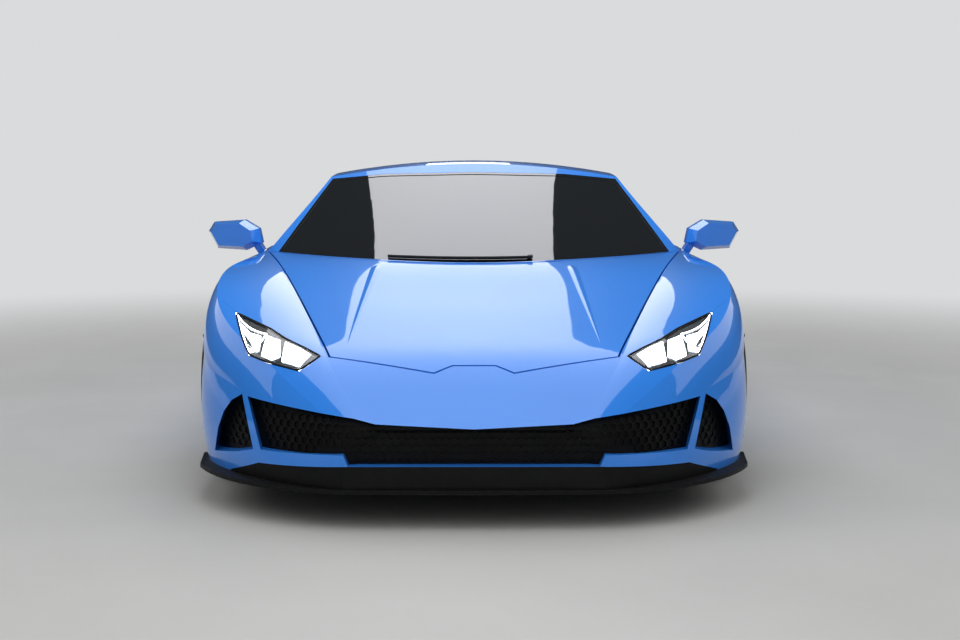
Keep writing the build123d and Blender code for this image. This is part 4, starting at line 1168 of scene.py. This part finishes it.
# The middles of the bolsters, as y and z
SEAT_BOLSTERS = {
    "thigh": [(-0.235, 0.375), (-0.10, 0.385), (0.04, 0.375), (0.13, 0.350)],
    "side": [(0.115, 0.400), (0.155, 0.520), (0.205, 0.640), (0.262, 0.745)],
}
BOLSTER_FILL = 0.8
SEAT_PIPING = [(-0.24, 0.352), (-0.05, 0.345), (0.09, 0.345), (0.135, 0.42), (0.20, 0.60), (0.262, 0.755)]
SEAT_SHELL = [(0, -0.25, 0.262), (0, -0.10, 0.245), (0, 0.10, 0.235), (0, 0.175, 0.30), (0, 0.225, 0.45),
              (0, 0.29, 0.64), (0, 0.345, 0.80), (0, 0.368, 0.892)]


class CAR_OT_make_seats(bpy.types.Operator):
    """Upholsters the seats with padded leather and suede over hard shells"""

    bl_idname = "car.make_seats"
    bl_label = "Seats"

    def make_pads(self, limit):
        """The filled pads, each with its fill."""
        for name, (half, low, high, thick, fill, cover) in SEAT_PADS.items():
            along = Vector((0, high[0] - low[0], high[1] - low[1]))
            face = Vector((0, -along.z, along.y)).normalized()
            centre = Vector((SEAT_MIDDLE, (low[0] + high[0]) / 2, (low[1] + high[1]) / 2))

            def place(u, v, w):
                return centre + Vector((u * half, 0, 0)) + along * (v / 2) + face * (w * thick)

            bm = bmesh.new()
            crowned_block(bm, place, 0.35)
            pad = finished(f"seat_{name}_left", bm, cover)
            swollen(pad, limit)
            yield pad, fill

    def make_bolsters(self):
        """The bolsters at both flanks of the seat, each with its fill."""
        for name, line in SEAT_BOLSTERS.items():
            points = [Vector((0, *p)) for p in line]
            along = (points[-1] - points[0]).normalized()
            face = Vector((0, -along.z, along.y))
            for flank, sign in SIDES.items():

                def spot(u, v):
                    ends, turn = math.sqrt(max(0.0, 1 - (2 * v - 1) ** 6)), u * math.tau
                    middle = between(points, v) + Vector((SEAT_MIDDLE + sign * 0.178, 0, 0))
                    return (middle + Vector((sign * 0.034 * ends * math.cos(turn), 0, 0))
                            + face * (0.040 * ends * math.sin(turn)))

                bm = bmesh.new()
                patch(bm, 20, 28, spot)
                bmesh.ops.remove_doubles(bm, verts=bm.verts[:], dist=0.0004)
                bmesh.ops.recalc_face_normals(bm, faces=bm.faces[:])
                yield finished(f"seat_{name}_{flank}_left", bm, LEATHER), BOLSTER_FILL

    def make_frame(self):
        """The piping, the hard shell and the rails, which have no fill."""
        for flank, sign in SIDES.items():
            bead = [(SEAT_MIDDLE + sign * 0.142, y, z) for y, z in SEAT_PIPING]
            yield pipe(f"seat_piping_{flank}_left", bead, 0.0028, THREAD), None

        def shell(u, v):
            centre, side = between(SEAT_SHELL, v), (u - 0.5) * 2
            half = 0.222 - 0.10 * smooth_step((v - 0.72) / 0.25)
            curl = 0.075 * abs(side) ** 3 * (1 - smooth_step((v - 0.8) / 0.2))
            back = smooth_step((v - 0.25) / 0.25)
            return Vector((SEAT_MIDDLE + side * half, centre.y - curl * back, centre.z + curl * (1 - back)))

        bm = bmesh.new()
        patch(bm, 20, 50, shell)
        bmesh.ops.recalc_face_normals(bm, faces=bm.faces[:])
        yield finished("seat_shell_left", bm, LACQUER, wall=0.006), None
        for index, x in enumerate((0.23, 0.53)):
            rail = [((x - 0.015, -0.20, 0.1556), (x + 0.015, 0.16, 0.186)),
                    ((x - 0.008, -0.16, 0.186), (x + 0.008, 0.10, 0.245))]
            yield blocks(f"seat_rail_{index}_left", rail, COATED_STEEL, rounded=0.003), None

    def execute(self, context):
        pieces = [*self.make_pads(context.scene.car_sizes.pad_swell), *self.make_bolsters(), *self.make_frame()]
        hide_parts("seats")
        for piece, fill in pieces:
            mesh = piece.data.copy()
            mesh.transform(Matrix.Diagonal((-1, 1, 1, 1)))
            mesh.flip_normals()
            wall = piece.modifiers["Wall"].thickness if piece.modifiers else 0.0
            twin = dressed(piece.name[:-5] + "_right", mesh, mesh.materials[0].name, wall=wall)
        return {"FINISHED"}


def stitches(name, points, outward, body="car", pitch=0.009):
    """A row of sewn stitches along a line, each a short thread on the surface."""
    bm = bmesh.new()
    for start, end in zip(points, points[1:]):
        start, end = Vector(start), Vector(end)
        along = (end - start).normalized()
        turn = Vector((1, 0, 0)).rotation_difference(along).to_matrix().to_4x4()
        for index in range(int((end - start).length / pitch)):
            middle = start + along * (index + 0.5) * pitch + Vector(outward) * 0.0004
            matrix = Matrix.Translation(middle) @ turn @ Matrix.Diagonal((pitch * 0.72, 0.0014, 0.0012, 1))
            bmesh.ops.create_cube(bm, size=1.0, matrix=matrix)
    return finished(name, bm, THREAD, body, smooth=False)


# The dashboard's plates, which the driver sees ahead: their corners as x and z, how far they stand out, their
# finish, the number of their faces and the share of their width that their rims take
DASH_PLATES = {
    "dash_pad_right": (rectangle((-0.70, 0.655), (-0.16, 0.708)), 0.010, SUEDE, (40, 12), 0.12),
    "dash_trim_right": (rectangle((-0.70, 0.610), (-0.16, 0.634)), 0.004, LACQUER, (40, 6), 0.12),
    "centre_display_frame": (rectangle((-0.105, 0.560), (0.105, 0.700)), 0.008, LACQUER, (12, 12), 0.06),
    "driver_display": ([(0.285, 0.700), (0.475, 0.700), (0.468, 0.750), (0.292, 0.750)], 0.003, DISPLAY,
                       (12, 8), 0.06),
}
VENT_PROFILE = [(-0.004, 0.040), (0.010, 0.040), (0.013, 0.036), (0.009, 0.031), (0.001, 0.030), (0.0005, 0.0)]
START_PROFILE = [(-0.004, 0.024), (0.010, 0.024), (0.012, 0.022), (0.011, 0.017), (0.013, 0.015), (0.013, 0.0)]


class CAR_OT_make_dashboard(bpy.types.Operator):
    """Adds the dashboard's displays, vents, switches and stitching, and the tunnel's controls"""

    bl_idname = "car.make_dashboard"
    bl_label = "Dashboard"

    def execute(self, context):
        tree = skin("dashboard")

        def face(x, z):
            """The point of the dashboard that the driver sees ahead at x and z."""
            return on_skin(tree, (x, 0.2, z), (0, -1, 0))

        for name, (corners, lift, material, cells, edge) in DASH_PLATES.items():
            plate_on(name, face, corners, lift, material, cells=cells, edge=edge)
        plate_on("centre_display", raised(face, 0.0078), rectangle((-0.092, 0.580), (0.092, 0.688)), 0.0008,
                 DISPLAY, cells=(8, 8), edge=0.04)
        for index, x in enumerate((-0.635, -0.185, 0.160, 0.640)):
            spot, normal = face(x, 0.685)
            turned(f"air_vent_{index}", [VENT_PROFILE], spot, normal, 6, LACQUER, rounded=0.0015,
                   smooth=False)
            vane = Vector((0.025, 0.0035, 0.0009))
            middles = [spot + normal * 0.005 + Vector((0, 0, row * 0.010)) for row in range(-2, 3)]
            blocks(f"air_vent_vanes_{index}", [(m - vane, m + vane) for m in middles], GREY_PLASTIC,
                   smooth=False)
        keys = [face((index - 2) * 0.036, 0.545)[0] for index in range(5)]
        low, high = Vector((0.012, 0.006, 0.008)), Vector((0.012, 0.012, 0.008))
        blocks("centre_switches", [(key - low, key + high) for key in keys],
               GREY_PLASTIC, turn=Matrix.Rotation(math.radians(-20), 4, "X"), rounded=0.002)
        stitches("dash_stitches", [(x, face(x, 0.716)[0].y, 0.716) for x in (-0.70, -0.16)], (0, 1, 0))

        bm = bmesh.new()
        crowned_block(bm, lambda u, v, w: Vector((u * 0.085, 0.20 + v * 0.14,
                                                  0.436 - v * 0.017 + w * 0.018)), 0.3)
        finished("armrest_pad", bm, LEATHER, subdivide=1)
        blocks("tunnel_panel", [((-0.075, -0.285, 0.489), (0.075, -0.035, 0.497))], LACQUER,
               turn=Matrix.Rotation(math.radians(-7.6), 4, "X"), rounded=0.003)
        keys = []
        for x, y, half in ((-0.042, -0.10, 0.013), (0.0, -0.10, 0.013), (0.042, -0.10, 0.013),
                           (-0.042, -0.06, 0.011), (0.042, -0.06, 0.011)):
            z = above(tree, x, y)[0].z + 0.012
            keys.append(((x - half, y - 0.014, z - 0.008), (x + half, y + 0.014, z + 0.004)))
        blocks("gear_buttons", keys, GREY_PLASTIC, rounded=0.003)
        turned("start_button", [START_PROFILE], above(tree, 0.0, -0.19)[0], (0, -0.13, 0.99), 32, "acrylic_red")
        return {"FINISHED"}


# Flat pieces on the driver's left of the steering wheel, as corners across and up from its middle
WHEEL_SPOKE = ((0.055, 0.016), (0.148, 0.012), (0.150, -0.013), (0.055, -0.018))
WHEEL_KEYS = ((0.078, 0.004), (0.102, 0.003), (0.126, 0.002))
WHEEL_KEY = ((-0.009, -0.008), (0.009, -0.007), (0.008, 0.008), (-0.008, 0.008))
PADDLE = ((0.060, 0.012), (0.128, 0.040), (0.118, 0.070), (0.098, 0.074), (0.060, 0.045))
PADDLE_ARM = ((0.030, 0.006), (0.068, 0.020), (0.068, 0.036), (0.030, 0.026))
WHEEL_RADIUS = 0.178
WHEEL_GRIP = 0.0158
WHEEL_SEAM = WHEEL_RADIUS - 0.0152
WHEEL_STITCHES = 120


class CAR_OT_make_steering_wheel(bpy.types.Operator):
    """Adds the steering wheel's pad, buttons, paddles, top band and stitching"""

    bl_idname = "car.make_steering_wheel"
    bl_label = "Steering wheel"

    def execute(self, context):
        joint = JOINTS["steering_wheel_turn"]
        axis = Vector(joint["axis"]).normalized()
        centre = Vector(joint["pos_m"])
        up = Vector((0, -axis.z, axis.y))

        def at(u, v, w):
            """A point by its place across the wheel, up it and along the column."""
            return centre + Vector((u, 0, 0)) + up * v + axis * w

        bm = bmesh.new()
        crowned_block(bm, lambda u, v, w: at(u * 0.058, v * 0.050 - 0.004, 0.020 + w * 0.014), 0.35)
        finished("wheel_pad", bm, LEATHER, "hand_wheel", subdivide=1)
        for side, sign in SIDES.items():
            # each piece's outlines, how far along the column they lie and how thick they are
            keys = [([(x + a, z + b) for a, b in WHEEL_KEY], 0.0115, 0.0035) for x, z in WHEEL_KEYS]
            for name, outlines, material, rounded in (
                    ("wheel_spoke", [(WHEEL_SPOKE, 0.006, 0.006)], LACQUER, 0.0018),
                    ("wheel_buttons", keys, GREY_PLASTIC, 0.0010),
                    ("wheel_paddle", [(PADDLE, -0.010, -0.003), (PADDLE_ARM, -0.010, 0.014)], LACQUER,
                     0.0010)):
                bm = bmesh.new()
                for outline, level, thick in outlines:
                    slab(bm, [at(sign * x, z, level) for x, z in outline], axis * thick)
                finished(f"{name}_{side}", bm, material, "hand_wheel", rounded=rounded)

        def out(turn):
            """The direction from the wheel's middle to its rim at an angle."""
            return Vector((math.cos(turn), 0, 0)) + up * math.sin(turn)

        bm = bmesh.new()
        for index in range(WHEEL_STITCHES):
            arm = out(math.tau * index / WHEEL_STITCHES)
            basis = Matrix((axis.cross(arm), arm, axis)).transposed().to_4x4()
            matrix = Matrix.Translation(centre + arm * WHEEL_SEAM) @ basis
            bmesh.ops.create_cube(bm, size=1.0, matrix=matrix @ Matrix.Diagonal((0.0058, 0.0012, 0.0014, 1)))
        finished("wheel_stitches", bm, THREAD, "hand_wheel", smooth=False)

        def band(u, v):
            turn = v * math.tau
            return (centre + out(1.49 + 0.16 * u) * (WHEEL_RADIUS + WHEEL_GRIP * math.cos(turn))
                    + axis * (WHEEL_GRIP * math.sin(turn)))

        bm = bmesh.new()
        patch(bm, 12, 20, band)
        finished("wheel_top_band", bm, SUEDE, "hand_wheel")
        return {"FINISHED"}


DOOR_PULL = [(0.862, -0.31, 0.50), (0.826, -0.315, 0.51), (0.818, -0.33, 0.56), (0.826, -0.345, 0.61),
             (0.862, -0.35, 0.62)]
SPEAKER_PROFILE = [(0.006, 0.074), (0.012, 0.074), (0.013, 0.070), (0.010, 0.066), (0.012, 0.040), (0.013, 0.0)]
SPEAKER_RINGS = [[(0.0125, ring * 0.012 - 0.0012), (0.0145, ring * 0.012), (0.0125, ring * 0.012 + 0.0012)]
                 for ring in range(1, 6)]
# The windscreen's edge seen from ahead on the car's left, as x and z, from its lower corner to its middle
SCREEN_EDGE = [(0.800, 0.768), (0.72, 0.905), (0.640, 1.045), (0.600, 1.072), (0.400, 1.090)]


class CAR_OT_make_cabin_trim(bpy.types.Operator):
    """Adds the door cards, carpets, pedals, head lining, visors and mirror of the cabin"""

    bl_idname = "car.make_cabin_trim"
    bl_label = "Cabin trim"

    def make_door_trim(self, side, sign):
        """Lines one door, with its armrest, pull, speaker and switches."""
        door, body = skin(f"door_{side}"), f"{side}_door"

        def card(y, z):
            return on_skin(door, (sign * 0.3, y, z), (sign, 0, 0))

        plate_on(f"door_card_{side}", card, rectangle((-0.56, 0.275), (0.34, 0.715)), 0.007,
                 LEATHER, body, (40, 24), 0.03)
        plate_on(f"door_insert_{side}", raised(card, 0.0068), rectangle((-0.46, 0.525), (0.26, 0.665)), 0.006,
                 SUEDE, body, (30, 12), 0.1)
        seam = [raised(card, 0.0076)(y, 0.690)[0] for y in (-0.52, -0.3, -0.1, 0.1, 0.30)]
        stitches(f"door_stitches_{side}", seam, (-sign, 0, 0), body)

        def armrest(u, v, w):
            return Vector((sign * (0.835 + w * 0.032), -0.08 + u * 0.20, 0.478 + v * 0.020))

        bm = bmesh.new()
        crowned_block(bm, armrest, 0.3)
        bmesh.ops.recalc_face_normals(bm, faces=bm.faces[:])
        finished(f"door_armrest_{side}", bm, LEATHER, body, subdivide=1)
        pipe(f"door_pull_{side}", [(sign * x, y, z) for x, y, z in DOOR_PULL], 0.008, STAINLESS, body)
        place = card(-0.40, 0.375)
        turned(f"door_speaker_{side}", [SPEAKER_PROFILE], *place, 48, GREY_PLASTIC, body)
        turned(f"door_speaker_rings_{side}", SPEAKER_RINGS, *place, 40, PLASTIC, body)
        x = sign * 0.822
        keys = [((x - 0.010, y - 0.011, 0.496), (x + 0.010, y + 0.011, 0.502)) for y in (-0.17, -0.14)]
        blocks(f"door_switches_{side}", keys, GREY_PLASTIC, body, rounded=0.0012)

    def execute(self, context):
        floor, lining, glass = skin("floor_pan"), skin("roof"), skin("windscreen")

        def overhead(x, y):
            return on_skin(lining, (x, y, 0.7), (0, 0, 1))

        for side, sign in SIDES.items():
            self.make_door_trim(side, sign)
            plate_on(f"floor_mat_{side}", lambda x, y: above(floor, sign * x, y),
                     [(0.150, -0.74), (0.640, -0.74), (0.640, -0.285), (0.150, -0.285)], 0.008,
                     CARPET, cells=(20, 20), edge=0.04)
            plate_on(f"sun_visor_{side}", lambda x, y: overhead(sign * x, y),
                     rectangle((0.09, -0.125), (0.40, -0.02)), 0.014, SUEDE, cells=(20, 10), edge=0.10)
        plate_on("head_lining", overhead, rectangle((-0.42, 0.0), (0.42, 0.40)), 0.006, SUEDE,
                 cells=(30, 20), edge=0.05)

        foot = on_skin(glass, (0, -0.34, 0.6), (0, 0, 1))[0]
        for name, corners, material, rounded in (
                ("cabin_mirror", [((-0.012, -0.014, -0.032), (0.012, 0.014, 0.0)),
                                  ((-0.095, 0.0, -0.072), (0.095, 0.022, -0.022))], PLASTIC, 0.005),
                ("cabin_mirror_glass", [((-0.089, 0.0222, -0.067), (0.089, 0.0240, -0.027))],
                 MIRROR, 0.0006)):
            blocks(name, [(foot + Vector(low), foot + Vector(high)) for low, high in corners], material,
                   rounded=rounded)
        for name, x, half, low, high in (("brake_pedal", 0.335, 0.032, 0.265, 0.325),
                                         ("throttle_pedal", 0.455, 0.022, 0.225, 0.330)):
            blocks(f"{name}_plate", [((x - half, -0.735, low), (x + half, -0.727, high))], STAINLESS,
                   turn=Matrix.Rotation(math.radians(-24), 4, "X"), rounded=0.002)
            pipe(f"{name}_arm", [(x, -0.732, (low + high) / 2), (x, -0.755, 0.40), (x, -0.70, 0.53)], 0.007,
                 COATED_STEEL)
        edge = [(-x, z) for x, z in SCREEN_EDGE] + [(0.0, 1.098)] + SCREEN_EDGE[::-1]
        rim = [ahead(glass, x, z) for x, z in along_line(edge, 6)]
        pipe("windscreen_seal", [spot - normal * 0.001 for spot, normal in filter(None, rim)], 0.0032,
             SEAL, sides=2)
        return {"FINISHED"}


GROUPS = {"car_colours": CarColours, "car_sizes": CarSizes, "car_stage": StageSettings}
OPERATORS = (
    CAR_OT_finish_frame,
    CAR_OT_make_creases,
    CAR_OT_make_headlamps,
    CAR_OT_make_wiper,
    CAR_OT_make_grilles,
    CAR_OT_make_tyres,
    CAR_OT_make_wheel_fittings,
    CAR_OT_make_side_trim,
    CAR_OT_make_wheelhouses,
    CAR_OT_make_tail,
    CAR_OT_make_engine_dressing,
    CAR_OT_make_seats,
    CAR_OT_make_dashboard,
    CAR_OT_make_steering_wheel,
    CAR_OT_make_cabin_trim,
    CAR_OT_make_stage,
)


class CAR_PT_pieces(bpy.types.Panel):
    """Lists the car's settings and the steps that make its pieces"""

    bl_idname = "CAR_PT_pieces"
    bl_label = "Sports car"
    bl_space_type = "VIEW_3D"
    bl_region_type = "UI"
    bl_category = "Car"

    def draw(self, context):
        for name in GROUPS:
            group = getattr(context.scene, name)
            for prop in group.bl_rna.properties:
                if prop.identifier not in ("rna_type", "name"):
                    self.layout.prop(group, prop.identifier)
        for operator in OPERATORS:
            self.layout.operator(operator.bl_idname)


def register():
    """Adds the settings, the steps and the panel to Blender."""
    for name, group in GROUPS.items():
        bpy.utils.register_class(group)
        setattr(bpy.types.Scene, name, bpy.props.PointerProperty(type=group))
    for operator in (*OPERATORS, CAR_PT_pieces):
        bpy.utils.register_class(operator)


def unregister():
    """Takes them away again."""
    for operator in (CAR_PT_pieces, *reversed(OPERATORS)):
        bpy.utils.unregister_class(operator)
    for name, group in GROUPS.items():
        delattr(bpy.types.Scene, name)
        bpy.utils.unregister_class(group)


def main():
    """Makes the whole scene."""
    register()
    for operator in OPERATORS:
        group, step = operator.bl_idname.split(".")
        getattr(getattr(bpy.ops, group), step)()


if __name__ == "__main__":
    main()
